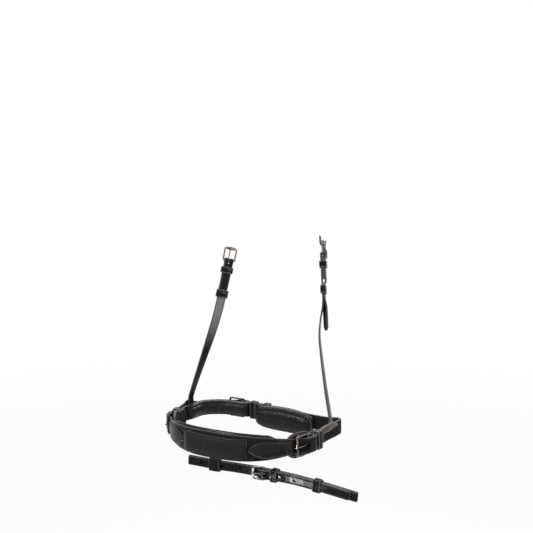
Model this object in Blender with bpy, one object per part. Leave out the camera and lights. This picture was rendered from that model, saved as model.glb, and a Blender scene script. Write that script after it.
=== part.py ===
# Bridle noseband: a padded nosepiece, side straps with a chin pad and a chin roll, two cheek straps
# and a flash strap. Metres, +Z up. The horse faces -Y and its near (left) side is +X.
# The origin is the middle of the ring, where the horse's nose sits.

import math
from typing import NamedTuple

import bmesh
import bpy
from mathutils import Vector

# The ring: half sizes, and its route as shares of half width, half depth and sag, from the front
# middle round by the near side.
ring_half_width = 0.104
ring_half_depth = 0.077
ring_sag = 0.0025
ring_route_shares = [
    (0.0, -1.0, 0.0), (0.31, -0.965, 0.0), (0.58, -0.82, 0.0), (0.79, -0.58, 0.0), (0.93, -0.29, 0.2),
    (0.985, 0.03, 0.4), (1.01, 0.36, 0.6), (1.03, 0.66, 0.4), (0.985, 0.88, -0.6), (0.8, 0.95, -1.8),
    (0.55, 0.95, -1.6), (0.25, 0.965, -1.0), (-0.1, 0.985, -1.0), (-0.42, 0.98, -0.8),
    (-0.7, 0.92, -0.7), (-0.9, 0.72, -0.7), (-0.95, 0.4, -0.5), (-0.94, 0.05, -0.2),
    (-0.89, -0.3, 0.0), (-0.765, -0.58, 0.0), (-0.57, -0.82, 0.0), (-0.31, -0.965, 0.0),
]
samples_per_span = 16
samples_per_rise = 4
turn_share = 0.7
run_step = 0.0062

# Leather and the gaps between layers that touch.
ring_leather = 0.0022
thin_leather = 0.0019
layer_gap = 0.0003
edge_gap = 0.0005
keeper_wall = 0.0013
keeper_corner = 0.0012

# Nosepiece: height at the middle and at the billets, and how far its layers reach from the middle.
ring_strap_width = 0.020
ring_strap_rise = 0.0015
nose_height = 0.034
nose_reach = 0.098
nose_taper_power = 2.5
liner_reach = 0.089
liner_depth = 0.0062
liner_lip = 0.0022
nose_pad_reach = 0.042
nose_pad_depth = 0.0058
nose_pad_height = 0.0255
nose_pad_drop = 0.0020
leaf_start = 0.0432
leaf_end = 0.0985
leaf_depth = 0.0021
leaf_height = 0.0255
leaf_end_height = 0.0175
leaf_lift = -0.0005

# Side buckles: where the bar that holds the chape lies along the ring, and what sits behind it.
side_bar_place = 0.1240
side_guard_clear = 0.0025
side_guard_start = liner_reach + side_guard_clear
side_guard_length = 0.060
side_guard_height = 0.0325
side_guard_drop = 0.0012
side_guard_depth = 0.0026
ring_flap_length = 0.026
ring_keeper_start = 0.0105
ring_keeper_length = 0.0085
ring_billet_past = 0.0245

# Links that carry the cheek straps up from the side straps.
link_start = 0.1535
link_low_share = 0.08
off_foot_x = 0.1003
off_foot_y = 0.0375
near_foot_x = 0.1071
near_foot_y = 0.028
cheek_foot_z = 0.0215
link_pull = 0.019

# Cheek straps: heads, width and bow. Each side hangs a little differently, and its bow is given
# as shares at even steps from the foot to the head.
cheek_width = 0.0122
cheek_head_x = 0.067
cheek_head_y = 0.083
off_head_z = 0.2000
near_head_z = 0.2190
off_bow = 0.005
near_bow = 0.0085
off_bow_shares = (0.0, 0.15, 0.35, 0.55, 0.75, 0.9, 0.95, 0.8, 0.53, 0.27, 0.0)
near_bow_shares = (0.0, 0.3, 0.56, 0.76, 0.93, 1.0, 0.66, 0.12, 0.05, 0.02, 0.0)
off_foot_turn_deg = 4.0
off_head_turn_deg = 46.0
near_foot_turn_deg = 12.0
near_head_turn_deg = 20.0
cheek_flap_length = 0.032
cheek_keeper_start = 0.0087
cheek_keeper_length = 0.0085
cheek_runner_start = 0.040
cheek_runner_length = 0.0105
hinge_gap = 0.0008
tail_length = 0.098
tail_spare_share = 1.1
tail_top_past = 0.006

# Chin: a strap with its own buckle, a pad and a roll.
chin_bar_place = 0.2515
chin_pad_start = 0.2520
chin_pad_length = 0.0835
chin_pad_height = 0.0325
chin_pad_end_height = 0.0155
chin_pad_drop = 0.0037
chin_pad_depth = 0.0098
roll_start = 0.158
roll_end = 0.2605
roll_depth = 0.0088
roll_height = 0.0198
roll_rise = 0.0018
chin_keeper_start = 0.0105
chin_runner_start = 0.030
chin_billet_past = 0.048

# Flash strap: a long loop laid flat, in a leather loop under the middle of the nosepiece.
flash_width = 0.0118
flash_left = 0.0385
flash_right = 0.1910
flash_y = 0.0730
flash_droop_share = 0.040
flash_bow_back = 0.0050
flash_bow_up = 0.0032
flash_bar_place = 0.0682
flash_fold_gap = 0.0011
flash_flap_length = 0.026
flash_keeper_start = 0.0087
flash_keeper_length = 0.0085
flash_runner_start = 0.0655
flash_runner_length = 0.0100
flash_tip_place = 0.165
flash_loop_width = 0.014
flash_loop_wall = 0.0018
flash_loop_place = -0.0015
flash_neck_height = 0.0012
flash_neck_depth = 0.0016
flash_neck_gap = 0.0004
flash_neck_y = 0.0768
neck_share = 0.9
flash_hole_places = (-0.0190, 0.0080, 0.0330, 0.0885, 0.1090)

# Buckles: bar thickness, length between bars, roller and prong.
ring_bar_radius = 0.0015
small_bar_radius = 0.0011
ring_buckle_length = 0.0215
cheek_buckle_length = 0.0165
flash_buckle_length = 0.0150
bar_gap = 0.0003
frame_side_gap = 0.0008
frame_corner = 0.0020
roller_wall = 0.0006
prong_radius = 0.0008
prong_overhang = 0.0022
slot_gap = 0.0006
slot_behind = 0.0062
chape_drop_share = 0.95
billet_hold_share = 0.25

# Holes in the billets.
hole_radius = 0.0020
chin_hole_pitch = 0.0180
chin_hole_count = 2
tail_hole_pitch = 0.0200
tail_hole_count = 3
prong_hole_length = 0.0110
prong_hole_shift = 0.0010
prong_hole_width = 0.0036
hole_overrun = 0.004

# Colours of the finished leather, its rough inner side and the steel.
colours = {
    "leather": ((0.020, 0.019, 0.021), 0.42, 0.0),
    "soft_leather": ((0.024, 0.023, 0.025), 0.5, 0.0),
    "lining": ((0.035, 0.030, 0.028), 0.7, 0.0),
    "steel": ((0.62, 0.61, 0.60), 0.22, 1.0),
}


class Buckle(NamedTuple):
    width: float
    leather: float
    bar: float
    length: float


class Hang(NamedTuple):
    foot_x: float
    foot_y: float
    foot_turn_deg: float
    head_z: float
    head_turn_deg: float
    bow: float
    bow_shares: tuple


ring_buckle = Buckle(ring_strap_width, ring_leather, ring_bar_radius, ring_buckle_length)
cheek_buckle = Buckle(cheek_width, thin_leather, small_bar_radius, cheek_buckle_length)
flash_buckle = Buckle(flash_width, thin_leather, small_bar_radius, flash_buckle_length)


def clear_scene():
    for item in list(bpy.data.objects):
        bpy.data.objects.remove(item, do_unlink=True)


def smooth(share):
    share = min(1.0, max(0.0, share))
    return share * share * (3.0 - 2.0 * share)


# A route is a line of samples with a width direction. Its outer normal is tangent x width.
class Route:
    def __init__(self, points, widths, closed=False):
        self.closed = closed
        if closed:
            points = points + [points[0]]
            widths = widths + [widths[0]]
        self.points = [Vector(p) for p in points]
        self.widths = [Vector(w) for w in widths]
        self.marks = [0.0]
        for before, after in zip(self.points, self.points[1:]):
            self.marks.append(self.marks[-1] + (after - before).length)
        self.length = self.marks[-1]

    def sample(self, s):
        if self.closed:
            s = s % self.length
        low, high = 0, len(self.marks) - 2
        while low < high:
            middle = (low + high + 1) // 2
            if self.marks[middle] <= s:
                low = middle
            else:
                high = middle - 1
        share = (s - self.marks[low]) / (self.marks[low + 1] - self.marks[low])
        point = self.points[low].lerp(self.points[low + 1], share)
        width = self.widths[low].lerp(self.widths[low + 1], min(1.0, max(0.0, share)))
        return point, width

    def frame(self, s):
        reach = self.length / 200.0
        point, width = self.sample(s)
        tangent = (self.sample(s + reach)[0] - self.sample(s - reach)[0]).normalized()
        width = (width - tangent * width.dot(tangent)).normalized()
        return point, tangent, width, tangent.cross(width)

    def place(self, s, n, w):
        point, tangent, width, normal = self.frame(s)
        return point + normal * n + width * w


def curve_through(corners, closed, steps):
    count = len(corners)
    spans = count if closed else count - 1
    points = []
    for span in range(spans):
        four = []
        for shift in (-1, 0, 1, 2):
            index = span + shift
            index = index % count if closed else min(count - 1, max(0, index))
            four.append(Vector(corners[index]))
        a, b, c, d = four
        for step in range(steps):
            t = step / steps
            points.append(0.5 * ((2.0 * b) + (c - a) * t + (2.0 * a - 5.0 * b + 4.0 * c - d) * t * t
                                 + (3.0 * b - a - 3.0 * c + d) * t * t * t))
    if not closed:
        points.append(Vector(corners[-1]))
    return points


def make_material(name):
    colour, roughness, metallic = colours[name]
    material = bpy.data.materials.get(name)
    if material is None:
        material = bpy.data.materials.new(name)
        material.use_nodes = True
        shader = material.node_tree.nodes["Principled BSDF"]
        shader.inputs["Base Color"].default_value = (*colour, 1.0)
        shader.inputs["Roughness"].default_value = roughness
        shader.inputs["Metallic"].default_value = metallic
    return material


def add_object(name, mesh_data, material, origin=None, round_piece=False):
    bmesh.ops.recalc_face_normals(mesh_data, faces=mesh_data.faces)
    if origin is not None:
        bmesh.ops.translate(mesh_data, verts=mesh_data.verts, vec=-Vector(origin))
    mesh = bpy.data.meshes.new(name)
    mesh_data.to_mesh(mesh)
    mesh_data.free()
    if round_piece:
        mesh.shade_smooth()
        mesh.set_sharp_from_angle(angle=math.radians(40.0))
    item = bpy.data.objects.new(name, mesh)
    if origin is not None:
        item.location = origin
    if material is not None:
        mesh.materials.append(make_material(material))
    bpy.context.collection.objects.link(item)
    return item


# A strap: its middle line in (s, n), its thickness, and its lower and upper edges by share of length.
def strap(name, route, line, thickness, edges, material, origin=None):
    data = bmesh.new()
    travelled = [0.0]
    for before, after in zip(line, line[1:]):
        travelled.append(travelled[-1] + math.dist(before, after))
    rows = []
    for index, (s, n) in enumerate(line):
        before = line[max(0, index - 1)]
        after = line[min(len(line) - 1, index + 1)]
        along = math.dist(before, after)
        turn_s = -(after[1] - before[1]) / along * thickness / 2.0
        turn_n = (after[0] - before[0]) / along * thickness / 2.0
        low, high = edges(s, travelled[index], travelled[-1])
        rows.append([
            data.verts.new(route.place(s - turn_s, n - turn_n, low)),
            data.verts.new(route.place(s + turn_s, n + turn_n, low)),
            data.verts.new(route.place(s + turn_s, n + turn_n, high)),
            data.verts.new(route.place(s - turn_s, n - turn_n, high)),
        ])
    bridge_rows(data, rows)
    return add_object(name, data, material, origin)


def bridge_rows(data, rows, closed=False):
    pairs = list(zip(rows, rows[1:]))
    if closed:
        pairs.append((rows[-1], rows[0]))
    for first, second in pairs:
        for k in range(len(first)):
            after = (k + 1) % len(first)
            data.faces.new((first[k], first[after], second[after], second[k]))
    if not closed:
        data.faces.new(rows[0])
        data.faces.new(rows[-1])


# A cushion along a route: flat on its back, crowned on its face, drawn in at its ends.
def cushion(name, route, start, end, back, depth, edges, material, steps=20, around=7, end_share=0.12):
    data = bmesh.new()
    rows = []
    for step in range(steps + 1):
        share = (1.0 - math.cos(math.pi * step / steps)) / 2.0
        s = start + (end - start) * share
        low, high = edges(s)
        near_end = min(share, 1.0 - share) / end_share
        drawn = math.sqrt(max(0.0, 1.0 - max(0.0, 1.0 - near_end) ** 2))
        height = depth * (0.35 + 0.65 * drawn)
        row = [data.verts.new(route.place(s, back, high)), data.verts.new(route.place(s, back, low))]
        for k in range(around):
            turn = math.pi * (k + 0.5) / around
            w = (low + high) / 2.0 - math.cos(turn) * (high - low) / 2.0
            row.append(data.verts.new(route.place(s, back + height * math.sin(turn) ** 0.55, w)))
        rows.append(row)
    bridge_rows(data, rows)
    return add_object(name, data, material, round_piece=True)


# A keeper: a rounded rectangle round the layers between n_low and n_high, along the route.
def keeper(name, route, start, length, half_width, n_low, n_high, wall, w_middle=0.0, material="leather",
           origin=None):
    data = bmesh.new()
    half_n = (n_high - n_low) / 2.0
    middle_n = (n_high + n_low) / 2.0
    outline = []
    for across, up, begin in ((1, 1, 0.0), (-1, 1, 90.0), (-1, -1, 180.0), (1, -1, 270.0)):
        for step in range(3):
            turn = math.radians(begin + 45.0 * step)
            outline.append((across, up, math.cos(turn), math.sin(turn)))
    rows = []
    inner_corner = keeper_corner / 2.0
    for across, up, c, s_turn in outline:
        inner_w = w_middle + across * (half_width - inner_corner) + inner_corner * c
        inner_n = middle_n + up * (half_n - inner_corner) + inner_corner * s_turn
        outer_w = w_middle + across * (half_width - inner_corner) + (inner_corner + wall) * c
        outer_n = middle_n + up * (half_n - inner_corner) + (inner_corner + wall) * s_turn
        rows.append([
            data.verts.new(route.place(start, inner_n, inner_w)),
            data.verts.new(route.place(start, outer_n, outer_w)),
            data.verts.new(route.place(start + length, outer_n, outer_w)),
            data.verts.new(route.place(start + length, inner_n, inner_w)),
        ])
    bridge_rows(data, rows, closed=True)
    return add_object(name, data, material, origin)


def tube(name, path, flat, radius, sides, material, closed=False, origin=None):
    data = bmesh.new()
    rows = []
    count = len(path)
    for index, point in enumerate(path):
        before = path[index - 1] if closed or index else path[0]
        after = path[(index + 1) % count] if closed or index < count - 1 else path[-1]
        tangent = (after - before).normalized()
        side = tangent.cross(flat).normalized()
        rows.append([
            data.verts.new(point + radius * (math.cos(2.0 * math.pi * (k + 0.5) / sides) * side
                                             + math.sin(2.0 * math.pi * (k + 0.5) / sides) * flat))
            for k in range(sides)
        ])
    bridge_rows(data, rows, closed)
    return add_object(name, data, material, origin, round_piece=True)


def sleeve(name, centre, axis, across, inner, outer, length, sides, material):
    data = bmesh.new()
    up = axis.cross(across)
    rows = []
    for k in range(sides):
        turn = 2.0 * math.pi * k / sides
        out = across * math.cos(turn) + up * math.sin(turn)
        rows.append([
            data.verts.new(centre + out * inner - axis * length / 2.0),
            data.verts.new(centre + out * outer - axis * length / 2.0),
            data.verts.new(centre + out * outer + axis * length / 2.0),
            data.verts.new(centre + out * inner + axis * length / 2.0),
        ])
    bridge_rows(data, rows, closed=True)
    return add_object(name, data, material, centre, round_piece=True)


# Cuts go through the leather along its normal: round holes, the longer hole of a prong, and slots.
def cut(item, name, route, s, base, half_long, half_wide, w_middle, depth, sides):
    data = bmesh.new()
    point, tangent, width, normal = route.frame(s)
    rings = []
    for n in (base - hole_overrun, base + depth + hole_overrun):
        ring = []
        for k in range(sides):
            turn = 2.0 * math.pi * (k + 0.5) / sides
            ring.append(data.verts.new(point + normal * n + tangent * half_long * math.cos(turn)
                                       + width * (w_middle + half_wide * math.sin(turn))))
        rings.append(ring)
    bridge_rows(data, rings)
    cutter = add_object(name, data, None)
    cutter.hide_render = True
    cutter.display_type = "WIRE"
    change = item.modifiers.new(name, "BOOLEAN")
    change.operation = "DIFFERENCE"
    change.solver = "EXACT"
    change.object = cutter


def bar_height(size):
    return size.leather + bar_gap + size.bar


def fold_radius(size):
    return size.bar + bar_gap + size.leather / 2.0


def fold_top(size):
    return bar_height(size) + fold_radius(size) + size.leather / 2.0


def flap_middle(size):
    return 1.5 * size.leather + layer_gap


def roller_radius(size):
    return size.bar + bar_gap + roller_wall


# The end of a strap folded round a buckle's bar, from the end of the flap to the start of the run.
def chape_line(size, base, bar_place, side, flap_length):
    top = bar_height(size) + fold_radius(size)
    drop = chape_drop_share * fold_top(size)
    flap_end = bar_place + side * flap_length
    line = [(flap_end, base + flap_middle(size))]
    line += run_line(flap_end, bar_place + side * drop, base + flap_middle(size))
    for step in range(5):
        share = step / 5.0
        line.append((bar_place + side * drop * (1.0 - share),
                     base + flap_middle(size) + (top - flap_middle(size)) * smooth(share)))
    for step in range(9):
        turn = math.pi / 2.0 + math.pi * step / 8.0
        line.append((bar_place + side * fold_radius(size) * math.cos(turn),
                     base + bar_height(size) + fold_radius(size) * math.sin(turn)))
    return line


# A billet that comes under the roller, climbs over the fold and lies down on the flap.
def billet_line(size, base, bar_place, side, past, settle=None):
    low = size.leather / 2.0
    high = fold_top(size) + layer_gap + size.leather / 2.0
    rest = flap_middle(size) + size.leather + layer_gap
    rise_start = size.length - roller_radius(size) / 2.0
    rise_end = fold_top(size) / 2.0
    drop = chape_drop_share * fold_top(size)
    line = []
    for step in range(9):
        share = step / 8.0
        x = rise_start + (rise_end - rise_start) * share
        line.append((bar_place - side * x, base + low + (high - low) * smooth(share)))
    hold = drop * billet_hold_share
    for step in range(5):
        share = step / 4.0
        line.append((bar_place + side * (hold + drop * share),
                     base + high + (rest - high) * smooth(share)))
    if settle is not None:
        flap_length, level = settle
        for step in range(5):
            share = step / 4.0
            line.append((bar_place + side * (flap_length + size.leather + drop * share),
                         base + rest + (level - rest) * smooth(share)))
        rest = level
    tip = bar_place + side * past
    return line + run_line(line[-1][0], tip, base + rest) + [(tip, base + rest)]


def run_line(start, end, level):
    steps = max(1, round(abs(end - start) / run_step))
    return [(start + (end - start) * step / steps, level) for step in range(1, steps)]


# Width with a rounded point at each end that asks for one.
def pointed(half, middle, tip_length, at_start, at_end):
    def edges(s, done, whole):
        left = 1.0
        if at_end:
            left = min(left, (whole - done) / tip_length)
        if at_start:
            left = min(left, done / tip_length)
        reach = half * (0.35 + 0.65 * math.sin(math.pi / 2.0 * min(1.0, max(0.0, left))))
        return middle - reach, middle + reach
    return edges


def level_edges(half, middle=0.0):
    return lambda s, done, whole: (middle - half, middle + half)


# Frame, roller and prong of one buckle. The frame stands from its bar towards the front bar.
def buckle_set(prefix, size, route, base, bar_place, side, w_middle=0.0):
    bar_point, tangent, width, normal = route.frame(bar_place)
    centre = bar_point + normal * (base + bar_height(size)) + width * w_middle
    front_point, front_tangent, front_width, front_normal = route.frame(bar_place - side * size.length)
    front_level = base + max(bar_height(size), size.leather + 2.0 * layer_gap + roller_radius(size))
    aim = front_point + front_normal * front_level + front_width * w_middle - centre
    aim = aim - width * aim.dot(width)
    along = aim.normalized()
    up = (normal - along * normal.dot(along)).normalized()
    front = centre + along * size.length
    half = size.width / 2.0 + frame_side_gap + size.bar

    path = []
    corners = ((0.0, -half), (size.length, -half), (size.length, half), (0.0, half))
    for index, (x, y) in enumerate(corners):
        inner_x = frame_corner if x == 0.0 else size.length - frame_corner
        inner_y = y - math.copysign(frame_corner, y)
        for step in range(5):
            turn = math.radians(180.0 + 90.0 * index + 22.5 * step)
            path.append(centre + along * (inner_x + frame_corner * math.cos(turn))
                        + width * (inner_y + frame_corner * math.sin(turn)))
    tube(prefix + "buckle_frame", path, up, size.bar, 10, "steel", closed=True, origin=centre)

    sleeve_length = 2.0 * (half - frame_corner) - layer_gap
    sleeve(prefix + "buckle_roller", front, width, along, size.bar + bar_gap, roller_radius(size),
           sleeve_length, 14, "steel")

    eye = size.bar + bar_gap + prong_radius
    hook = []
    for step in range(9):
        turn = math.radians(-50.0 - 220.0 * step / 8.0)
        hook.append(centre + along * eye * math.cos(turn) + up * eye * math.sin(turn))
    over = roller_radius(size) + layer_gap + prong_radius
    for share in (0.25, 0.5, 0.75):
        hook.append(centre + along * size.length * share + up * (eye + (over - eye) * share))
    hook.append(centre + along * size.length + up * over)
    hook.append(centre + along * (size.length + prong_overhang) + up * over)
    tube(prefix + "buckle_prong", hook, width, prong_radius, 8, "steel", origin=centre)


# The slot in a fold that lets the prong swing on its bar.
def cut_slot(item, name, size, route, base, bar_place, side, w_middle=0.0):
    reach = fold_top(size) / 2.0 + slot_gap
    middle = bar_place + side * (slot_behind - reach) / 2.0
    half_long = (slot_behind + reach) / 2.0 * math.sqrt(2.0)
    half_wide = (prong_radius + slot_gap) * math.sqrt(2.0)
    cut(item, name, route, middle, base, half_long, half_wide, w_middle, fold_top(size), 4)


# Where the prong crosses the billet, measured from the bar.
def crossing(size):
    eye = size.bar + bar_gap + prong_radius
    low = size.leather / 2.0
    high = fold_top(size) + layer_gap + low
    rise_start = size.length - roller_radius(size) / 2.0
    rise_end = fold_top(size) / 2.0
    goal = (bar_height(size) + eye - low) / (high - low)
    share = 0.5
    for _ in range(24):
        share += (goal - smooth(share)) * 0.4
    return rise_start + (rise_end - rise_start) * share


def prong_hole(item, name, size, route, base, bar_place, side, w_middle=0.0):
    middle = bar_place - side * (crossing(size) - prong_hole_shift)
    cut(item, name, route, middle, base, prong_hole_length / 2.0,
        prong_hole_width / 2.0, w_middle, fold_top(size) + size.leather, 12)


def round_hole(item, name, size, route, base, place, w_middle=0.0):
    cut(item, name, route, place, base, hole_radius, hole_radius, w_middle, fold_top(size), 12)


def nose_half_height(s):
    share = min(1.0, abs(s) / nose_reach)
    return (ring_strap_width + (nose_height - ring_strap_width) * (1.0 - share ** nose_taper_power)) / 2.0


def build_nosepiece(ring):
    def edges(s, done, whole):
        half = nose_half_height(s)
        left = min(1.0, min(done, whole - done) / (ring_strap_width / 2.0))
        half = half * (0.35 + 0.65 * math.sin(math.pi / 2.0 * left))
        return ring_strap_rise - half, ring_strap_rise + half

    near_end = billet_line(ring_buckle, 0.0, side_bar_place, 1, ring_billet_past)
    off_end = [(-s, n) for s, n in reversed(near_end)]
    reach = near_end[0][0]
    line = off_end + run_line(-reach, reach, ring_leather / 2.0) + near_end
    item = strap("nosepiece_strap", ring, line, ring_leather, edges, "leather")
    prong_hole(item, "near_side_prong_hole", ring_buckle, ring, 0.0, side_bar_place, 1, ring_strap_rise)
    prong_hole(item, "off_side_prong_hole", ring_buckle, ring, 0.0, -side_bar_place, -1, ring_strap_rise)

    cushion("nosepiece_liner", ring, -liner_reach, liner_reach, -layer_gap, -liner_depth,
            lambda s: (ring_strap_rise - nose_half_height(s) + liner_lip / 2.0,
                       ring_strap_rise + nose_half_height(s) + liner_lip),
            "soft_leather", steps=30, around=7, end_share=0.08)
    outer = ring_leather + layer_gap
    cushion("nose_pad", ring, -nose_pad_reach, nose_pad_reach, outer, nose_pad_depth,
            lambda s: (ring_strap_rise - nose_pad_drop - nose_pad_height / 2.0,
                       ring_strap_rise - nose_pad_drop + nose_pad_height / 2.0),
            "soft_leather", steps=22, around=9)
    for prefix, side in (("near_", 1), ("off_", -1)):
        def leaf_edges(s):
            share = (abs(s) - leaf_start) / (leaf_end - leaf_start)
            swell = leaf_end_height * share + leaf_height * (1.0 - share)
            half = swell / 2.0 * (0.12 + 0.88 * math.sin(math.pi / 2.0 * min(1.0, share / 0.42)))
            return ring_strap_rise + leaf_lift - half, ring_strap_rise + leaf_lift + half
        cushion(prefix + "leaf_overlay", ring, side * leaf_start, side * leaf_end, outer, leaf_depth,
                leaf_edges, "leather", steps=16, around=5, end_share=0.08)


def build_side(ring, prefix, side, line_end, width_end):
    bar = side * side_bar_place
    line = chape_line(ring_buckle, 0.0, bar, side, ring_flap_length) + line_end
    item = strap(prefix + "side_strap", ring, line, ring_leather, width_end, "leather")
    cut_slot(item, prefix + "side_slot", ring_buckle, ring, 0.0, bar, side, ring_strap_rise)
    buckle_set(prefix + "side_", ring_buckle, ring, 0.0, bar, side, ring_strap_rise)
    top = flap_middle(ring_buckle) + 1.5 * ring_leather + 2.0 * layer_gap
    keeper(prefix + "side_keeper", ring, bar + side * ring_keeper_start, side * ring_keeper_length,
           ring_strap_width / 2.0 + edge_gap, -layer_gap, top, keeper_wall, ring_strap_rise)
    guard_level = -(2.0 * layer_gap + keeper_wall + side_guard_depth / 2.0)
    start = side * side_guard_start
    end = start + side * side_guard_length

    def guard_edges(s, done, whole):
        share = abs(2.0 * done / whole - 1.0)
        half = side_guard_height / 2.0 * (1.0 - share ** 3.2 * 0.62)
        middle = ring_strap_rise - side_guard_drop
        return middle - half, middle + half

    guard = [(start, guard_level)] + run_line(start, end, guard_level) + [(end, guard_level)]
    strap(prefix + "buckle_guard", ring, guard, side_guard_depth, guard_edges, "leather")
    return item


def build_ring_straps(ring):
    chin_bar = ring.length - chin_bar_place
    middle = ring_leather / 2.0
    far_chape = [(s, n) for s, n in reversed(chape_line(ring_buckle, 0.0, chin_bar, -1, ring_flap_length))]
    near_run = run_line(side_bar_place, chin_bar, middle)
    near = build_side(ring, "near_", 1, near_run + far_chape,
                      level_edges(ring_strap_width / 2.0, ring_strap_rise))
    cut_slot(near, "chin_slot", ring_buckle, ring, 0.0, chin_bar, -1, ring_strap_rise)

    chin_billet = billet_line(ring_buckle, 0.0, chin_bar_place, 1, chin_billet_past)
    billet = [(-s, n) for s, n in chin_billet]
    off_run = run_line(-side_bar_place, billet[0][0], middle)
    off = build_side(ring, "off_", -1, off_run + billet,
                     pointed(ring_strap_width / 2.0, ring_strap_rise, ring_strap_width / 2.0, False, True))
    prong_hole(off, "chin_prong_hole", ring_buckle, ring, 0.0, -chin_bar_place, -1, ring_strap_rise)

    for index in range(chin_hole_count):
        place = -chin_bar_place + crossing(ring_buckle) - (index + 1) * chin_hole_pitch
        round_hole(off, "chin_hole_" + str(index), ring_buckle, ring, 0.0, place, ring_strap_rise)

    buckle_set("chin_", ring_buckle, ring, 0.0, chin_bar, -1, ring_strap_rise)
    top = flap_middle(ring_buckle) + 1.5 * ring_leather + 2.0 * layer_gap
    for name, start in (("chin_keeper", chin_keeper_start), ("chin_runner", chin_runner_start)):
        keeper(name, ring, chin_bar - start - ring_keeper_length, ring_keeper_length,
               ring_strap_width / 2.0 + edge_gap, -layer_gap, top, keeper_wall, ring_strap_rise)

    def pad_edges(s):
        share = abs(2.0 * (s - chin_pad_start) / chin_pad_length - 1.0)
        half = (chin_pad_end_height + (chin_pad_height - chin_pad_end_height)
                * math.sqrt(max(0.0, 1.0 - share ** 2.6))) / 2.0
        return ring_strap_rise - chin_pad_drop - half, ring_strap_rise - chin_pad_drop + half

    pad_back = -(2.0 * layer_gap + keeper_wall)
    cushion("chin_pad", ring, chin_pad_start, chin_pad_start + chin_pad_length, pad_back, -chin_pad_depth,
            pad_edges, "soft_leather", steps=22, around=9)
    cushion("chin_roll", ring, -roll_start, -roll_end, -layer_gap, -roll_depth,
            lambda s: (roll_rise - roll_height / 2.0, roll_rise + roll_height / 2.0),
            "soft_leather", steps=20, around=9, end_share=0.08)


# The cheek strap's line, from its foot to the bar of its buckle and a little past it.
def cheek_route(side, hang):
    foot = Vector((side * hang.foot_x, hang.foot_y, cheek_foot_z))
    head = Vector((side * cheek_head_x, cheek_head_y, hang.head_z))
    inward = Vector((-side, 0.0, 0.0))
    count = len(hang.bow_shares) - 1
    corners = [foot.lerp(head, index / count) + inward * hang.bow * share
               for index, share in enumerate(hang.bow_shares)]
    corners.append(2.0 * corners[-1] - corners[-2])
    points = curve_through(corners, False, samples_per_rise)
    widths = []
    for index in range(len(points)):
        share = index / (count * samples_per_rise)
        turn_deg = hang.foot_turn_deg + (hang.head_turn_deg - hang.foot_turn_deg) * smooth(share / turn_share)
        turn = math.radians(turn_deg)
        widths.append(-side * Vector((-side * math.sin(turn), math.cos(turn), 0.0)))
    route = Route(points, widths)
    return route, route.marks[count * samples_per_rise]


def build_cheek(ring, prefix, side, hang):
    route, head_place = cheek_route(side, hang)
    foot, rise, width, normal = route.frame(0.0)
    middle = thin_leather / 2.0
    half = cheek_width / 2.0
    hinge = foot + normal * middle

    start = hinge_gap / 2.0
    chape = chape_line(cheek_buckle, 0.0, head_place, -1, cheek_flap_length)
    line = chape + run_line(head_place, start, middle) + [(start, middle)]
    item = strap(prefix + "cheek_strap", route, line, thin_leather, level_edges(half), "leather",
                 origin=hinge)
    cut_slot(item, prefix + "cheek_slot", cheek_buckle, route, 0.0, head_place, -1)
    buckle_set(prefix + "cheek_", cheek_buckle, route, 0.0, head_place, -1)
    top = flap_middle(cheek_buckle) + 1.5 * thin_leather + 2.0 * layer_gap
    keeper(prefix + "cheek_keeper", route, head_place - cheek_keeper_start - cheek_keeper_length,
           cheek_keeper_length, half + edge_gap, -layer_gap, top, keeper_wall)
    runner_top = 2.0 * thin_leather + 2.0 * layer_gap
    keeper(prefix + "cheek_runner", route, head_place - cheek_runner_start - cheek_runner_length,
           cheek_runner_length, half + edge_gap, -layer_gap, runner_top, keeper_wall,
           origin=route.place(head_place - cheek_runner_start - cheek_runner_length / 2.0, middle, 0.0))

    link_route, link_length = cheek_link_route(ring, side, foot, rise, width)
    link_end = link_length - start
    link_line = [(0.0, middle)] + run_line(0.0, link_end, middle) + [(link_end, middle)]
    strap(prefix + "cheek_link", link_route, link_line, thin_leather, level_edges(half), "leather")
    return route, head_place


def bezier(a, b, c, d, t):
    low = a.lerp(b, t).lerp(b.lerp(c, t), t)
    high = b.lerp(c, t).lerp(c.lerp(d, t), t)
    return low.lerp(high, t)


# The link leaves the side strap along the ring and turns up to meet the foot of the cheek strap.
def cheek_link_route(ring, side, foot, rise, foot_width):
    low_point, tangent, up, outward = ring.frame(side * link_start)
    level = ring_leather + layer_gap
    begin = low_point + outward * level + up * (ring_strap_rise + link_low_share * ring_strap_width)
    heading = tangent * side
    points = []
    widths = []
    steps = 24
    begin_width = up if side > 0 else -up
    for step in range(steps + 1):
        t = step / steps
        points.append(bezier(begin, begin + heading * link_pull, foot - rise * link_pull, foot, t))
        widths.append(begin_width.lerp(foot_width, smooth(t)))
    route = Route(points, widths)
    return route, route.length


# The billet of the headpiece. It keeps the straight line of the head while the cheek strap bows away.
def build_tail(cheek, cheek_head):
    size = cheek_buckle
    level = flap_middle(size)
    head, rise, width, normal = cheek.frame(cheek_head)
    low_end = head - rise * tail_length * tail_spare_share
    route = Route([low_end, head, head + rise * tail_length], [width] * 3)
    head_place = route.marks[1]
    top = head_place + size.length + roller_radius(size) + tail_top_past
    climb = billet_line(size, 0.0, head_place, -1, tail_length, (cheek_flap_length, level))
    line = [(top, size.leather / 2.0)] + climb
    item = strap("near_headpiece_billet", route, line, thin_leather,
                 pointed(cheek_width / 2.0 - layer_gap, 0.0, cheek_width / 2.0, False, True), "leather")
    prong_hole(item, "near_cheek_prong_hole", size, route, 0.0, head_place, -1)
    for index in range(tail_hole_count):
        place = head_place + crossing(size) - (index + 1) * tail_hole_pitch
        round_hole(item, "near_billet_hole_" + str(index), size, route, 0.0, place)


def neck_top():
    return ring_strap_rise - nose_height / 2.0 - flash_neck_gap


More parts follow.
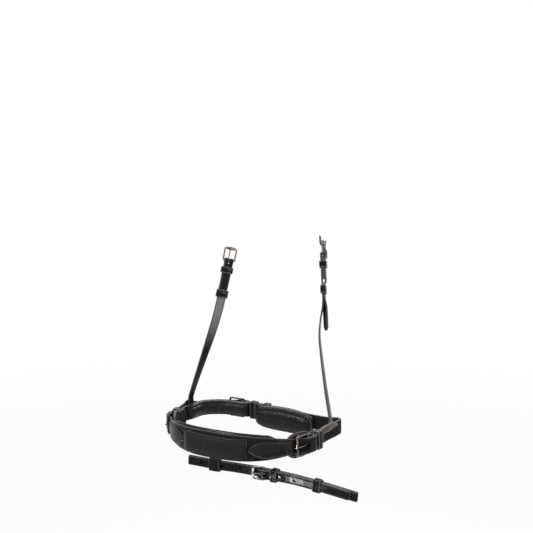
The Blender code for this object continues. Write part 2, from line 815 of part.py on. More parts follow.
def flash_route():
    middle = neck_top() - flash_neck_height - flash_loop_wall - edge_gap - flash_width / 2.0
    whole = flash_left + flash_right
    points = []
    steps = 24
    for step in range(steps + 1):
        share = step / steps
        x = whole * share - flash_left
        back = flash_bow_back * math.sin(math.pi * share)
        rise = flash_bow_up * math.sin(math.pi * max(0.0, x / flash_right))
        points.append(Vector((x, back - flash_y, middle - flash_droop_share * x + rise)))
    return Route(points, [Vector((0.0, 0.0, 1.0))] * (steps + 1))


def build_flash():
    size = flash_buckle
    route = flash_route()
    zero = flash_left * route.length / (flash_left + flash_right)
    base = thin_leather + flash_fold_gap
    middle = thin_leather / 2.0
    turn_radius = base / 2.0
    bar = zero + flash_bar_place
    outer = turn_radius + middle
    line = chape_line(size, base, bar, 1, flash_flap_length)
    right = route.length - outer
    line += run_line(bar, right, base + middle)
    for step in range(9):
        turn = math.pi / 2.0 - math.pi * step / 8.0
        line.append((right + turn_radius * math.cos(turn), outer + turn_radius * math.sin(turn)))
    line += run_line(right, outer, middle)
    for step in range(9):
        turn = -math.pi / 2.0 - math.pi * step / 8.0
        line.append((outer + turn_radius * math.cos(turn), outer + turn_radius * math.sin(turn)))
    past = zero + flash_tip_place - bar
    climb = billet_line(size, base, bar, 1, past, (flash_flap_length, flap_middle(size)))
    line += run_line(outer, climb[0][0], base + middle)
    line += climb
    item = strap("flash_strap", route, line, thin_leather,
                 pointed(flash_width / 2.0, 0.0, flash_width / 3.0, False, True), "leather",
                 origin=route.place(zero, base, 0.0))
    cut_slot(item, "flash_slot", size, route, base, bar, 1)
    prong_hole(item, "flash_prong_hole", size, route, base, bar, 1)
    for index, place in enumerate(flash_hole_places):
        round_hole(item, "flash_hole_" + str(index), size, route, base, zero + place)
    buckle_set("flash_", size, route, base, bar, 1)
    half = flash_width / 2.0 + edge_gap
    full = base + flap_middle(size) + 1.5 * thin_leather + 2.0 * layer_gap
    keeper("flash_keeper", route, bar + flash_keeper_start, flash_keeper_length, half, -layer_gap, full,
           keeper_wall)
    low = base + 2.0 * thin_leather + 2.0 * layer_gap
    keeper("flash_runner", route, bar + flash_runner_start, flash_runner_length, half, -layer_gap, low,
           keeper_wall, origin=route.place(bar + flash_runner_start, base, 0.0))
    build_flash_loop(route, zero + flash_loop_place, half, base + thin_leather + layer_gap)


# The loop hangs by a short neck stitched under the nosepiece.
def build_flash_loop(route, place, half, top):
    start = place - flash_loop_width / 2.0
    loop = keeper("flash_loop", route, start, flash_loop_width, half, -layer_gap, top, flash_loop_wall)
    centre = route.place(place, top / 2.0, half)
    data = bmesh.new()
    rows = []
    half_long = flash_loop_width / 2.0 * neck_share
    half_deep = flash_neck_depth / 2.0
    for z in (centre.z + flash_loop_wall / 2.0, neck_top()):
        rows.append([data.verts.new((centre.x + x * half_long, y * half_deep - flash_neck_y, z))
                     for x, y in ((-1, -1), (1, -1), (1, 1), (-1, 1))])
    bridge_rows(data, rows)
    neck = add_object("flash_loop_neck", data, None)
    neck.hide_render = True
    neck.display_type = "WIRE"
    join = loop.modifiers.new("neck", "BOOLEAN")
    join.operation = "UNION"
    join.solver = "EXACT"
    join.object = neck


def build():
    clear_scene()
    corners = [(x * ring_half_width, y * ring_half_depth, z * ring_sag) for x, y, z in ring_route_shares]
    points = curve_through(corners, True, samples_per_span)
    ring = Route(points, [Vector((0.0, 0.0, 1.0))] * len(points), closed=True)
    build_nosepiece(ring)
    build_ring_straps(ring)
    off_hang = Hang(off_foot_x, off_foot_y, off_foot_turn_deg, off_head_z, off_head_turn_deg, off_bow,
                    off_bow_shares)
    near_hang = Hang(near_foot_x, near_foot_y, near_foot_turn_deg, near_head_z, near_head_turn_deg, near_bow,
                     near_bow_shares)
    build_cheek(ring, "off_", -1, off_hang)
    near_route, near_head = build_cheek(ring, "near_", 1, near_hang)
    build_tail(near_route, near_head)
    build_flash()


build()
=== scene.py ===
import math

import bmesh
import bpy
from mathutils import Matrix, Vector, noise
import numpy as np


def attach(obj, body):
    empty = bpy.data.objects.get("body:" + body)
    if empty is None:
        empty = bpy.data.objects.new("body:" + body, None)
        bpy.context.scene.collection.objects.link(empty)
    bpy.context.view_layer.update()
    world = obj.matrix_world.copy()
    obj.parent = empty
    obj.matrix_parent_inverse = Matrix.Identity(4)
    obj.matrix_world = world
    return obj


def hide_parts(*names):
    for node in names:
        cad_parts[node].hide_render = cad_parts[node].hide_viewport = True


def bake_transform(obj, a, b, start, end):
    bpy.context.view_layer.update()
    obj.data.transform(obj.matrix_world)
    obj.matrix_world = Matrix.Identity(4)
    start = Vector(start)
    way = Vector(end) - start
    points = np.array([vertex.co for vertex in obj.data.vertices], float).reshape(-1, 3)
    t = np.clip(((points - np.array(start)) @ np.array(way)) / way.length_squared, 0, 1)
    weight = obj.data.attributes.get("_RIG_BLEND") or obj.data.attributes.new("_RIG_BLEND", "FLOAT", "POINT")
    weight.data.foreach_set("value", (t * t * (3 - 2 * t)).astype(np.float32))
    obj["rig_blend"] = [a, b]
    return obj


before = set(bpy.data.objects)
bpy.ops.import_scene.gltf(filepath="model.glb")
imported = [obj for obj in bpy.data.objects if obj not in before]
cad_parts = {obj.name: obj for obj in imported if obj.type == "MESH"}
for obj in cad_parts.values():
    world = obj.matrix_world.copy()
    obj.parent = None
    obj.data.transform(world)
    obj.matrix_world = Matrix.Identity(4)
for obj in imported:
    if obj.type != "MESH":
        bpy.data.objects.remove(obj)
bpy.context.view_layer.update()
print("noseband: frame loaded with", len(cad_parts), "solids")

# Camera, as the photograph was taken: a long lens, a little above, from the near side of the front
photoView = {
    "place": (0.71195, -1.31171, 0.48815),
    "tiltDeg": 79.5,
    "turnDeg": 27.4,
    "lensMm": 81.86,
}


def setCamera(view):
    lens = bpy.data.cameras.new("photoCamera")
    lens.lens = view["lensMm"]
    lens.sensor_width = 36.0
    camera = bpy.data.objects.new("photoCamera", lens)
    camera.location = view["place"]
    camera.rotation_euler = (math.radians(view["tiltDeg"]), 0.0, math.radians(view["turnDeg"]))
    bpy.context.scene.collection.objects.link(camera)
    bpy.context.scene.camera = camera


def toLinear(hexCode):
    values = [int(hexCode[k:k + 2], 16) / 255.0 for k in (1, 3, 5)]
    return tuple(v / 12.92 if v <= 0.04045 else ((v + 0.055) / 1.055) ** 2.4 for v in values) + (1.0,)


def addNode(tree, kind, settings=None, values=None, links=None):
    node = tree.nodes.new(kind)
    for key, value in (settings or {}).items():
        setattr(node, key, value)
    for key, value in (values or {}).items():
        node.inputs[key].default_value = value
    for key, source in (links or {}).items():
        tree.links.new(source, node.inputs[key])
    return node


# Studio: a pale floor well below the hanging noseband and an even white surround
studio = {
    "floorDrop": -0.52,
    "floorHalf": 7.0,
    "floorHex": "#f4f4f4",
    "surroundHex": "#ffffff",
    "surroundLight": 0.42,
    "floorLift": (0.84, 1.0),
    "floorFade": (0.9, 2.6),
}
# Four soft boxes light the whole noseband. Two small ones behind grids, low in front, reach only the
# flash strap, which mirrors them between its keeper and its runner.
ringMiddle, flashMiddle = (0.0, 0.0, 0.05), (0.099, -0.068, -0.031)
softBoxes = {
    "keyBox": {"place": (-0.55, -0.95, 1.15), "aim": ringMiddle, "size": (0.42, 0.34), "watts": 13.0},
    "fillBox": {"place": (1.35, -0.55, 0.55), "aim": ringMiddle, "size": (0.18, 0.5), "watts": 3.0},
    "rimBox": {"place": (-0.65, 0.95, 1.00), "aim": ringMiddle, "size": (0.8, 0.25), "watts": 8.0},
    "backBox": {"place": (0.20, 1.30, 0.75), "aim": ringMiddle, "size": (0.5, 0.3), "watts": 5.0},
    "lowBox": {"place": (-0.350, -0.894, -0.379), "aim": flashMiddle, "size": (0.03, 0.06),
               "watts": 0.0012, "gridDeg": 5.0},
    "slopeBox": {"place": (-0.110, -0.980, -0.380), "aim": flashMiddle, "size": (0.03, 0.06),
                 "watts": 0.0012, "gridDeg": 5.0},
}


def addSoftBox(name, place, aim, size, watts, gridDeg=180.0):
    lamp = bpy.data.lights.new(name, "AREA")
    lamp.shape = "RECTANGLE"
    lamp.size, lamp.size_y = size
    lamp.energy = watts
    lamp.spread = math.radians(gridDeg)
    box = bpy.data.objects.new(name, lamp)
    box.location = place
    box.rotation_euler = (Vector(aim) - Vector(place)).to_track_quat("-Z", "Y").to_euler()
    box.visible_camera = False
    bpy.context.scene.collection.objects.link(box)


def cameraAndGloss(tree):
    path = addNode(tree, "ShaderNodeLightPath")
    first = addNode(tree, "ShaderNodeMath", {"operation": "MAXIMUM"},
                    links={0: path.outputs["Is Camera Ray"], 1: path.outputs["Is Glossy Ray"]})
    both = addNode(tree, "ShaderNodeMath", {"operation": "MAXIMUM"},
                   links={0: first.outputs[0], 1: path.outputs["Is Transmission Ray"]})
    return both.outputs[0]


def buildStudio():
    bpy.context.scene.view_settings.view_transform = "Standard"
    world = bpy.data.worlds.new("softWhiteRoom")
    bpy.context.scene.world = world
    world.use_nodes = True
    tree = world.node_tree
    tree.nodes.clear()
    light = addNode(tree, "ShaderNodeBackground", values={0: toLinear(studio["surroundHex"]),
                                                          1: studio["surroundLight"]})
    seen = addNode(tree, "ShaderNodeBackground", values={0: toLinear(studio["surroundHex"]), 1: 1.0})
    mix = addNode(tree, "ShaderNodeMixShader",
                  links={0: cameraAndGloss(tree), 1: light.outputs[0], 2: seen.outputs[0]})
    addNode(tree, "ShaderNodeOutputWorld", links={0: mix.outputs[0]})

    for name, box in softBoxes.items():
        addSoftBox(name, **box)

    data = bmesh.new()
    bmesh.ops.create_grid(data, x_segments=12, y_segments=12, size=studio["floorHalf"])
    mesh = bpy.data.meshes.new("paleFloor")
    data.to_mesh(mesh)
    data.free()
    floor = bpy.data.objects.new("paleFloor", mesh)
    mesh.transform(floor.matrix_world)
    for vertex in mesh.vertices:
        vertex.co.z = studio["floorDrop"]
    bpy.context.scene.collection.objects.link(floor)
    paint = bpy.data.materials.new("paleFloorPaper")
    paint.use_nodes = True
    tree = paint.node_tree
    tree.nodes.clear()
    # matt paper, lifted towards white for the camera so that only the shadow stays darker
    matt = addNode(tree, "ShaderNodeBsdfDiffuse", values={0: toLinear(studio["floorHex"])})
    glow = addNode(tree, "ShaderNodeEmission", values={0: toLinear("#ffffff"), 1: 1.0})
    place = addNode(tree, "ShaderNodeTexCoord").outputs["Object"]
    far = addNode(tree, "ShaderNodeVectorMath", {"operation": "LENGTH"}, links={0: place})
    lift = addNode(tree, "ShaderNodeMapRange", {"interpolation_type": "SMOOTHSTEP"},
                   {1: studio["floorFade"][0], 2: studio["floorFade"][1], 3: studio["floorLift"][0],
                    4: studio["floorLift"][1]}, {0: far.outputs["Value"]})
    share = addNode(tree, "ShaderNodeMath", {"operation": "MULTIPLY"},
                    links={0: cameraAndGloss(tree), 1: lift.outputs[0]})
    mix = addNode(tree, "ShaderNodeMixShader",
                  links={0: share.outputs[0], 1: matt.outputs[0], 2: glow.outputs[0]})
    addNode(tree, "ShaderNodeOutputMaterial", links={0: mix.outputs[0]})
    mesh.materials.append(paint)


# Finishes. Lengths are millimetres on the real leather; colours are what the eye reads.
finishes = {
    "bridle": {"hex": "#0e0d10", "wornHex": "#1b191c", "fleshHex": "#a5a2a6", "rough": (0.13, 0.22),
               "poreMm": 0.7, "poreDepthMm": 0.006, "swellMm": 18.0, "swellDepthMm": 0.12,
               "crinkleMm": 2.6, "crinkleDepthMm": 0.008, "shine": 0.13, "rimHex": "#57535a"},
    "soft": {"hex": "#201e21", "wornHex": "#302d31", "fleshHex": "#3a3736", "rough": (0.22, 0.36),
             "poreMm": 0.9, "poreDepthMm": 0.008, "swellMm": 18.0, "swellDepthMm": 0.4,
             "crinkleMm": 3.4, "crinkleDepthMm": 0.012, "shine": 0.12, "rimHex": "#4c484e"},
    "pebble": {"hex": "#1d1b1f", "wornHex": "#2e2b30", "fleshHex": "#6b686b", "rough": (0.26, 0.40),
               "poreMm": 1.5, "poreDepthMm": 0.12, "swellMm": 10.0, "swellDepthMm": 0.2,
               "crinkleMm": 2.0, "crinkleDepthMm": 0.03, "shine": 0.14, "rimHex": "#57535a"},
    "binding": {"hex": "#3f3a35", "wornHex": "#6b645b", "fleshHex": "#6b686b", "rough": (0.30, 0.44),
                "poreMm": 0.8, "poreDepthMm": 0.02, "swellMm": 12.0, "swellDepthMm": 0.2,
                "crinkleMm": 1.6, "crinkleDepthMm": 0.03, "shine": 0.30, "rimHex": "#8d867d"},
}
finishes["tab"] = dict(finishes["binding"], hex="#3d3832", wornHex="#5f5850")
finishes["keeper"] = dict(finishes["bridle"], rimHex="#77737a")
# dark is the thread's own colour; pale is black thread painted light, a painted highlight for its glints
threadAndGlintHexes = {"dark": ("#2b2928", "#6a6660"), "pale": ("#7d7975", "#c4c0b9")}
# Steel colours: the first is darker than bare steel, painted shade for dark reflections; the second is
# painted shade for buckles in shadow; the third is a painted highlight
steelHexes = {"frame": ("#4a443d", "#8e867b"), "shadeDark": ("#24211e", "#3e3a35"),
              "highlightWhite": ("#b9b5ae", "#efece6")}
steelLook = {"wavesPerMetre": 260.0, "waveDepthMm": 0.008, "rubsPerMetre": 1800.0, "rubDepthMm": 0.002,
             "rough": (0.05, 0.15)}
threadLook = {"pliesPerMetre": 4000.0, "plyDepthMm": 0.06, "rough": 0.5,
              "sizeShares": (0.86, 1.06)}
napLook = {"fibresPerMetre": 900.0, "darkShare": 0.55, "rough": 0.85}


def bumpOf(tree, height, depthMm, before=None, strength=1.0):
    links = {"Height": height}
    if before is not None:
        links["Normal"] = before.outputs[0]
    return addNode(tree, "ShaderNodeBump", values={"Strength": strength, "Distance": depthMm / 1000.0},
                   links=links)


def leatherMaterial(name, look):
    material = bpy.data.materials.new(name)
    material.use_nodes = True
    tree = material.node_tree
    shader = tree.nodes["Principled BSDF"]
    place = addNode(tree, "ShaderNodeTexCoord").outputs["Object"]
    swell = addNode(tree, "ShaderNodeTexNoise", values={"Scale": 1000.0 / look["swellMm"], "Detail": 3.0},
                    links={"Vector": place})
    crinkle = addNode(tree, "ShaderNodeTexNoise",
                      values={"Scale": 1000.0 / look["crinkleMm"], "Detail": 5.0, "Distortion": 0.6},
                      links={"Vector": place})
    pores = addNode(tree, "ShaderNodeTexVoronoi", {"feature": "SMOOTH_F1"},
                    {"Scale": 1000.0 / look["poreMm"], "Smoothness": 0.5}, {"Vector": place})
    rim = addNode(tree, "ShaderNodeAttribute", {"attribute_name": "rim"})
    flesh = addNode(tree, "ShaderNodeAttribute", {"attribute_name": "flesh"})
    # the raised crinkles are rubbed lighter, and the rim is painted greyer than the face: partly the
    # burnished edge, partly a painted highlight where the rounded edge catches light
    worn = addNode(tree, "ShaderNodeMapRange", values={1: 0.42, 2: 0.72, 3: 0.0, 4: 0.8},
                   links={0: crinkle.outputs["Fac"]})
    grain = addNode(tree, "ShaderNodeMix", {"data_type": "RGBA"},
                    {6: toLinear(look["hex"]), 7: toLinear(look["wornHex"])}, {0: worn.outputs[0]})
    edge = addNode(tree, "ShaderNodeMix", {"data_type": "RGBA"}, {7: toLinear(look["rimHex"])},
                   {0: rim.outputs["Fac"], 6: grain.outputs[2]})
    fibre = addNode(tree, "ShaderNodeTexNoise", links={"Vector": place},
                    values={"Scale": napLook["fibresPerMetre"], "Detail": 6.0, "Roughness": 0.7})
    fleshDark = tuple(napLook["darkShare"] * v for v in toLinear(look["fleshHex"])[:3]) + (1.0,)
    nap = addNode(tree, "ShaderNodeMix", {"data_type": "RGBA"},
                  {6: fleshDark, 7: toLinear(look["fleshHex"])}, {0: fibre.outputs["Fac"]})
    colour = addNode(tree, "ShaderNodeMix", {"data_type": "RGBA"},
                     links={0: flesh.outputs["Fac"], 6: edge.outputs[2], 7: nap.outputs[2]})
    gloss = addNode(tree, "ShaderNodeMapRange",
                    values={1: 0.35, 2: 0.7, 3: look["rough"][0], 4: look["rough"][1]},
                    links={0: swell.outputs["Fac"]})
    dull = addNode(tree, "ShaderNodeMapRange", values={1: 0.0, 2: 0.02, 3: 0.0, 4: 1.0},
                   links={0: flesh.outputs["Fac"]})
    matt = addNode(tree, "ShaderNodeMix", {"data_type": "FLOAT"}, {3: napLook["rough"]},
                   {0: dull.outputs[0], 2: gloss.outputs[0]})
    bump = bumpOf(tree, swell.outputs["Fac"], look["swellDepthMm"])
    bump = bumpOf(tree, crinkle.outputs["Fac"], look["crinkleDepthMm"], bump)
    bump = bumpOf(tree, pores.outputs["Distance"], look["poreDepthMm"], bump)
    tree.links.new(colour.outputs[2], shader.inputs["Base Color"])
    tree.links.new(matt.outputs[0], shader.inputs["Roughness"])
    tree.links.new(bump.outputs[0], shader.inputs["Normal"])
    shader.inputs["Specular IOR Level"].default_value = look["shine"]
    return material


def threadMaterial(name, hexes):
    material = bpy.data.materials.new(name)
    material.use_nodes = True
    tree = material.node_tree
    shader = tree.nodes["Principled BSDF"]
    place = addNode(tree, "ShaderNodeTexCoord").outputs["Object"]
    # the plies of the twist, a quarter of a millimetre apart
    twist = addNode(tree, "ShaderNodeTexNoise",
                    values={"Scale": threadLook["pliesPerMetre"], "Detail": 2.0}, links={"Vector": place})
    colour = addNode(tree, "ShaderNodeMix", {"data_type": "RGBA"},
                     {6: toLinear(hexes[0]), 7: toLinear(hexes[1])}, {0: twist.outputs["Fac"]})
    bump = bumpOf(tree, twist.outputs["Fac"], threadLook["plyDepthMm"])
    tree.links.new(colour.outputs[2], shader.inputs["Base Color"])
    tree.links.new(bump.outputs[0], shader.inputs["Normal"])
    shader.inputs["Roughness"].default_value = threadLook["rough"]
    return material


def steelMaterial(name, hexes):
    material = bpy.data.materials.new(name)
    material.use_nodes = True
    tree = material.node_tree
    shader = tree.nodes["Principled BSDF"]
    place = addNode(tree, "ShaderNodeTexCoord").outputs["Object"]
    # bent and tumbled: a soft waviness under the polish, with fine rubs from the straps
    wave = addNode(tree, "ShaderNodeTexNoise",
                   values={"Scale": steelLook["wavesPerMetre"], "Detail": 2.0}, links={"Vector": place})
    rubs = addNode(tree, "ShaderNodeTexNoise", links={"Vector": place},
                   values={"Scale": steelLook["rubsPerMetre"], "Detail": 4.0, "Roughness": 0.7})
    colour = addNode(tree, "ShaderNodeMix", {"data_type": "RGBA"},
                     {6: toLinear(hexes[0]), 7: toLinear(hexes[1])}, {0: wave.outputs["Fac"]})
    gloss = addNode(tree, "ShaderNodeMapRange", links={0: rubs.outputs["Fac"]},
                    values={1: 0.3, 2: 0.75, 3: steelLook["rough"][0], 4: steelLook["rough"][1]})
    bump = bumpOf(tree, wave.outputs["Fac"], steelLook["waveDepthMm"])
    bump = bumpOf(tree, rubs.outputs["Fac"], steelLook["rubDepthMm"], bump)
    tree.links.new(colour.outputs[2], shader.inputs["Base Color"])
    tree.links.new(gloss.outputs[0], shader.inputs["Roughness"])
    tree.links.new(bump.outputs[0], shader.inputs["Normal"])
    shader.inputs["Metallic"].default_value = 1.0
    return material


# Values shared by every strap, with lengths in metres
leatherStock = {
    "ringThick": 0.0022,
    "layerGap": 0.0003,
    "edgeGap": 0.0005,
    "runnerGap": 0.00025,
    "creaseIn": 0.0014,
    "creaseDeep": 0.00022,
    "station": 0.0010,
    "edgeWander": 0.00010,
    "wandersPerMetre": 120.0,
    "threadLift": 0.0001,
    "tipShare": 0.30,
}
innerNap = 0.02  # how much of the grey nap shows inside the ring, where the rough face is dyed and worn flat
buckleSizes = {
    "ring": {"width": 0.020, "leather": 0.0022, "bar": 0.0015, "length": 0.0215,
             "wire": 0.0011, "wall": 0.0004},
    "cheek": {"width": 0.0122, "leather": 0.0019, "bar": 0.0011, "length": 0.0165},
    "flash": {"width": 0.0118, "leather": 0.0019, "bar": 0.0011, "length": 0.0150},
    "barGap": 0.0003,
    "sideGap": 0.0008,
    "corner": 0.0020,
    "rollerWall": 0.0006,
    "prong": 0.0008,
    "prongOverhang": 0.0022,
    "slotGap": 0.0006,
    "slotBehind": 0.0042,
    "chapeDrop": 0.95,
    "billetHold": 0.25,
    "prongTip": ((0.35, 0.98), (0.65, 0.92), (0.82, 0.80), (0.93, 0.58), (1.0, 0.25)),
    "buttSeam": -0.00012,
    "rollerEdge": ((0.5, 0.0002), (0.487, 0.00005), (0.46, 0.0)),
    "hookFromDeg": -50.0,
    "hookTurnDeg": 220.0,
}


def smooth(share):
    share = min(1.0, max(0.0, share))
    return share * share * (3.0 - 2.0 * share)


def bell(distance, width):
    return math.exp(-(distance / width) ** 2)


# A route is a line of points with a width direction; its outer normal is tangent x width
class StrapRoute:
    def __init__(self, points, widths, closed=False):
        self.closed = closed
        if closed:
            points = points + [points[0]]
            widths = widths + [widths[0]]
        self.points = [Vector(p) for p in points]
        self.widths = [Vector(w) for w in widths]
        self.marks = [0.0]
        for before, after in zip(self.points, self.points[1:]):
            self.marks.append(self.marks[-1] + (after - before).length)
        self.length = self.marks[-1]

    def sample(self, s):
        if self.closed:
            s = s % self.length
        low, high = 0, len(self.marks) - 2
        while low < high:
            middle = (low + high + 1) // 2
            if self.marks[middle] <= s:
                low = middle
            else:
                high = middle - 1
        share = (s - self.marks[low]) / (self.marks[low + 1] - self.marks[low])
        point = self.points[low].lerp(self.points[low + 1], share)
        width = self.widths[low].lerp(self.widths[low + 1], min(1.0, max(0.0, share)))
        return point, width

    def frame(self, s):
        reach = self.length / 200.0
        point, width = self.sample(s)
        tangent = (self.sample(s + reach)[0] - self.sample(s - reach)[0]).normalized()
        width = (width - tangent * width.dot(tangent)).normalized()
        return point, tangent, width, tangent.cross(width)

    def place(self, s, n, w):
        point, _, width, normal = self.frame(s)
        return point + normal * n + width * w


def curveThrough(corners, closed, steps):
    count = len(corners)
    spans = count if closed else count - 1
    points = []
    for span in range(spans):
        four = []
        for shift in (-1, 0, 1, 2):
            index = span + shift
            index = index % count if closed else min(count - 1, max(0, index))
            four.append(Vector(corners[index]))
        a, b, c, d = four
        for step in range(steps):
            t = step / steps
            points.append(0.5 * ((2.0 * b) + (c - a) * t + (2.0 * a - 5.0 * b + 4.0 * c - d) * t * t
                                 + (3.0 * b - a - 3.0 * c + d) * t * t * t))
    if not closed:
        points.append(Vector(corners[-1]))
    return points


def barHeight(size):
    return size["leather"] + buckleSizes["barGap"] + size["bar"]


def foldRadius(size):
    return size["bar"] + buckleSizes["barGap"] + size["leather"] / 2.0


def foldTop(size):
    return barHeight(size) + foldRadius(size) + size["leather"] / 2.0


def flapLevel(size):
    return 1.5 * size["leather"] + leatherStock["layerGap"]


def rollerRadius(size):
    return size["bar"] + buckleSizes["barGap"] + buckleSizes["rollerWall"]


def runLine(start, end, level):
    steps = max(1, round(abs(end - start) / leatherStock["station"]))
    return [(start + (end - start) * step / steps, level) for step in range(1, steps)]


# The end of a strap folded round a bar: flap first, then the fold, which ends where the run begins
def chapeLine(size, base, bar, side, flap):
    top = barHeight(size) + foldRadius(size)
    drop = buckleSizes["chapeDrop"] * foldTop(size)
    rest = flapLevel(size)
    line = [(bar + side * flap, base + rest)]
    line += runLine(bar + side * flap, bar + side * drop, base + rest)
    for step in range(14):
        share = step / 14.0
        line.append((bar + side * drop * (1.0 - share), base + rest + (top - rest) * smooth(share)))
    for step in range(25):
        turn = math.pi / 2.0 + math.pi * step / 24.0
        line.append((bar + side * foldRadius(size) * math.cos(turn),
                     base + barHeight(size) + foldRadius(size) * math.sin(turn)))
    return line


# A billet that comes under the roller, climbs over the fold and lies down on the flap
def billetLine(size, base, bar, side, past, settle=None):
    low = size["leather"] / 2.0
    high = foldTop(size) + leatherStock["layerGap"] + size["leather"] / 2.0
    rest = flapLevel(size) + size["leather"] + leatherStock["layerGap"]
    riseStart = size["length"] - rollerRadius(size) / 2.0
    riseEnd = foldTop(size) / 2.0
    drop = buckleSizes["chapeDrop"] * foldTop(size)
    line = []
    for step in range(25):
        share = step / 24.0
        line.append((bar - side * (riseStart + (riseEnd - riseStart) * share),
                     base + low + (high - low) * smooth(share)))
    hold = drop * buckleSizes["billetHold"]
    for step in range(13):
        share = step / 12.0
        line.append((bar + side * (hold + drop * share), base + high + (rest - high) * smooth(share)))
    if settle is not None:
        flap, level = settle
        for step in range(13):
            share = step / 12.0
            line.append((bar + side * (flap + size["leather"] + drop * share),
                         base + rest + (level - rest) * smooth(share)))
        rest = level
    tip = bar + side * past
    return line + runLine(line[-1][0], tip, base + rest) + [(tip, base + rest)]


def crossing(size):
    eye = size["bar"] + buckleSizes["barGap"] + buckleSizes["prong"]
    low = size["leather"] / 2.0
    high = foldTop(size) + leatherStock["layerGap"] + low
    riseStart = size["length"] - rollerRadius(size) / 2.0
    riseEnd = foldTop(size) / 2.0
    goal = (barHeight(size) + eye - low) / (high - low)
    share = 0.5
    for _ in range(24):
        share += (goal - smooth(share)) * 0.4
    return riseStart + (riseEnd - riseStart) * share


# How much of its width a strap keeps towards a rounded tip
def tipWidth(left):
    least = leatherStock["tipShare"]
    return least + (1.0 - least) * math.sin(math.pi / 2.0 * min(1.0, max(0.0, left)))


def pointed(half, middle, tip):
    def edges(s, done, whole):
        reach = half * tipWidth((whole - done) / tip)
        return middle - reach, middle + reach
    return edges


def levelEdges(half, middle=0.0):
    return lambda s, done, whole: (middle - half, middle + half)


def newPiece(name, data, material):
    bmesh.ops.recalc_face_normals(data, faces=data.faces)
    mesh = bpy.data.meshes.new(name)
    data.to_mesh(mesh)
    data.free()
    mesh.shade_smooth()
    mesh.materials.append(material)
    piece = bpy.data.objects.new(name, mesh)
    bpy.context.scene.collection.objects.link(piece)
    return piece


def bridgeRows(data, rows, closed=False):
    pairs = list(zip(rows, rows[1:]))
    if closed:
        pairs.append((rows[-1], rows[0]))
    for first, second in pairs:
        for k in range(len(first)):
            after = (k + 1) % len(first)
            data.faces.new((first[k], first[after], second[after], second[k]))
    if not closed:
        data.faces.new(rows[0])
        data.faces.new(rows[-1])


# A strap cut across: round burnished edges, a crease line inside both edges and a slight dome between.
# The section's points hold distance across, height, how much of the rim's grey shows, and the side; that grey
# is partly burnished edge, partly painted highlight.
strapEdgeTurns = [math.radians(-75.0 + 30.0 * step) for step in range(6)]
strapCreaseShape = ((-0.00045, 0.0), (-0.0002, 0.75), (0.0, 1.0), (0.0002, 0.75), (0.00045, 0.0))
strapMiddleShares = (0.22, 0.36, 0.5, 0.64, 0.78)
strapShape = {"roundShare": 0.85, "edgeShare": 0.2, "fullWidth": 0.008, "dome": 0.06, "rimShow": 0.75,
              "rimWidth": 0.0011, "endLength": 0.0007, "endThin": 0.55}


def strapSection(low, high, half, crease):
    wide = high - low
    round_ = min(half * strapShape["roundShare"], wide * strapShape["edgeShare"])
    creaseIn = min(leatherStock["creaseIn"], wide * strapShape["edgeShare"])
    points = []
    for turn in strapEdgeTurns:
        points.append((low + round_ * (1.0 - math.cos(turn)), half * math.sin(turn), 1.0, 0))
    over = []
    for shift, deep in strapCreaseShape:
        over.append((creaseIn + shift * min(1.0, wide / strapShape["fullWidth"]), deep))
    face = [(low + d, deep) for d, deep in over]
    face += [(low + wide * share, 0.0) for share in strapMiddleShares]
    face += [(high - d, deep) for d, deep in reversed(over)]
    for w, deep in face:
        near = min(w - low, high - w)
        dome = strapShape["dome"] * half * (1.0 - (2.0 * (w - low) / wide - 1.0) ** 2)
        rim = strapShape["rimShow"] * bell(near, strapShape["rimWidth"])
        points.append((w, half + dome - crease * deep, rim, 1))
    for turn in reversed(strapEdgeTurns):
        points.append((high - round_ * (1.0 - math.cos(turn)), half * math.sin(turn), 1.0, 0))
    for w, deep in reversed(face):
        near = min(w - low, high - w)
        rim = strapShape["rimShow"] * bell(near, strapShape["rimWidth"])
        points.append((w, -half + crease * deep, rim, -1))
    return points


# A strap of leather along one or more routes. fleshAt(s, n, side) is 1 where the rough side shows;
# thinAt(done) is the share of the thickness left where the start is pared down.
def makeStrap(name, runs, thickness, edges, material, fleshAt=None, thinAt=None):
    stations = []
    done = 0.0
    for route, line in runs:
        for index, (s, n) in enumerate(line):
            before = line[max(0, index - 1)]
            after = line[min(len(line) - 1, index + 1)]
            along = max(1e-9, math.dist(before, after))
            if index:
                done += math.dist(line[index - 1], (s, n))
            turnS, turnN = -(after[1] - before[1]) / along, (after[0] - before[0]) / along
            stations.append((route, s, n, turnS, turnN, done))
    whole = stations[-1][5]
    data = bmesh.new()
    rimLayer = data.verts.layers.float.new("rim")
    fleshLayer = data.verts.layers.float.new("flesh")
    rows = []
    for route, s, n, turnS, turnN, done in stations:
        low, high = edges(s, done, whole)
        wave = noise.noise(Vector((done * leatherStock["wandersPerMetre"], 3.0, len(name))))
        wave *= leatherStock["edgeWander"]
        low, high = low + wave, high + wave
        close = min(1.0, min(done, whole - done) / strapShape["endLength"])
        least = strapShape["endThin"]
        half = thickness / 2.0 * (least + (1.0 - least) * math.sqrt(1.0 - (1.0 - close) ** 2))
        half *= thinAt(done) if thinAt else 1.0
        point, _, width, normal = route.frame(s)
        row = []
        for w, t, rim, side in strapSection(low, high, half, leatherStock["creaseDeep"]):
            flesh = fleshAt(s, n, side) * (1.0 - rim) if fleshAt and side else 0.0
            spot = route.place(s + turnS * t, n + turnN * t, w) if abs(turnS) > 0.02 else (
                point + normal * (n + turnN * t) + width * w)
            vertex = data.verts.new(spot)
            vertex[rimLayer] = rim * (1.0 - flesh)
            vertex[fleshLayer] = flesh
            row.append(vertex)
        rows.append(row)
    bridgeRows(data, rows)
    return newPiece(name, data, material)


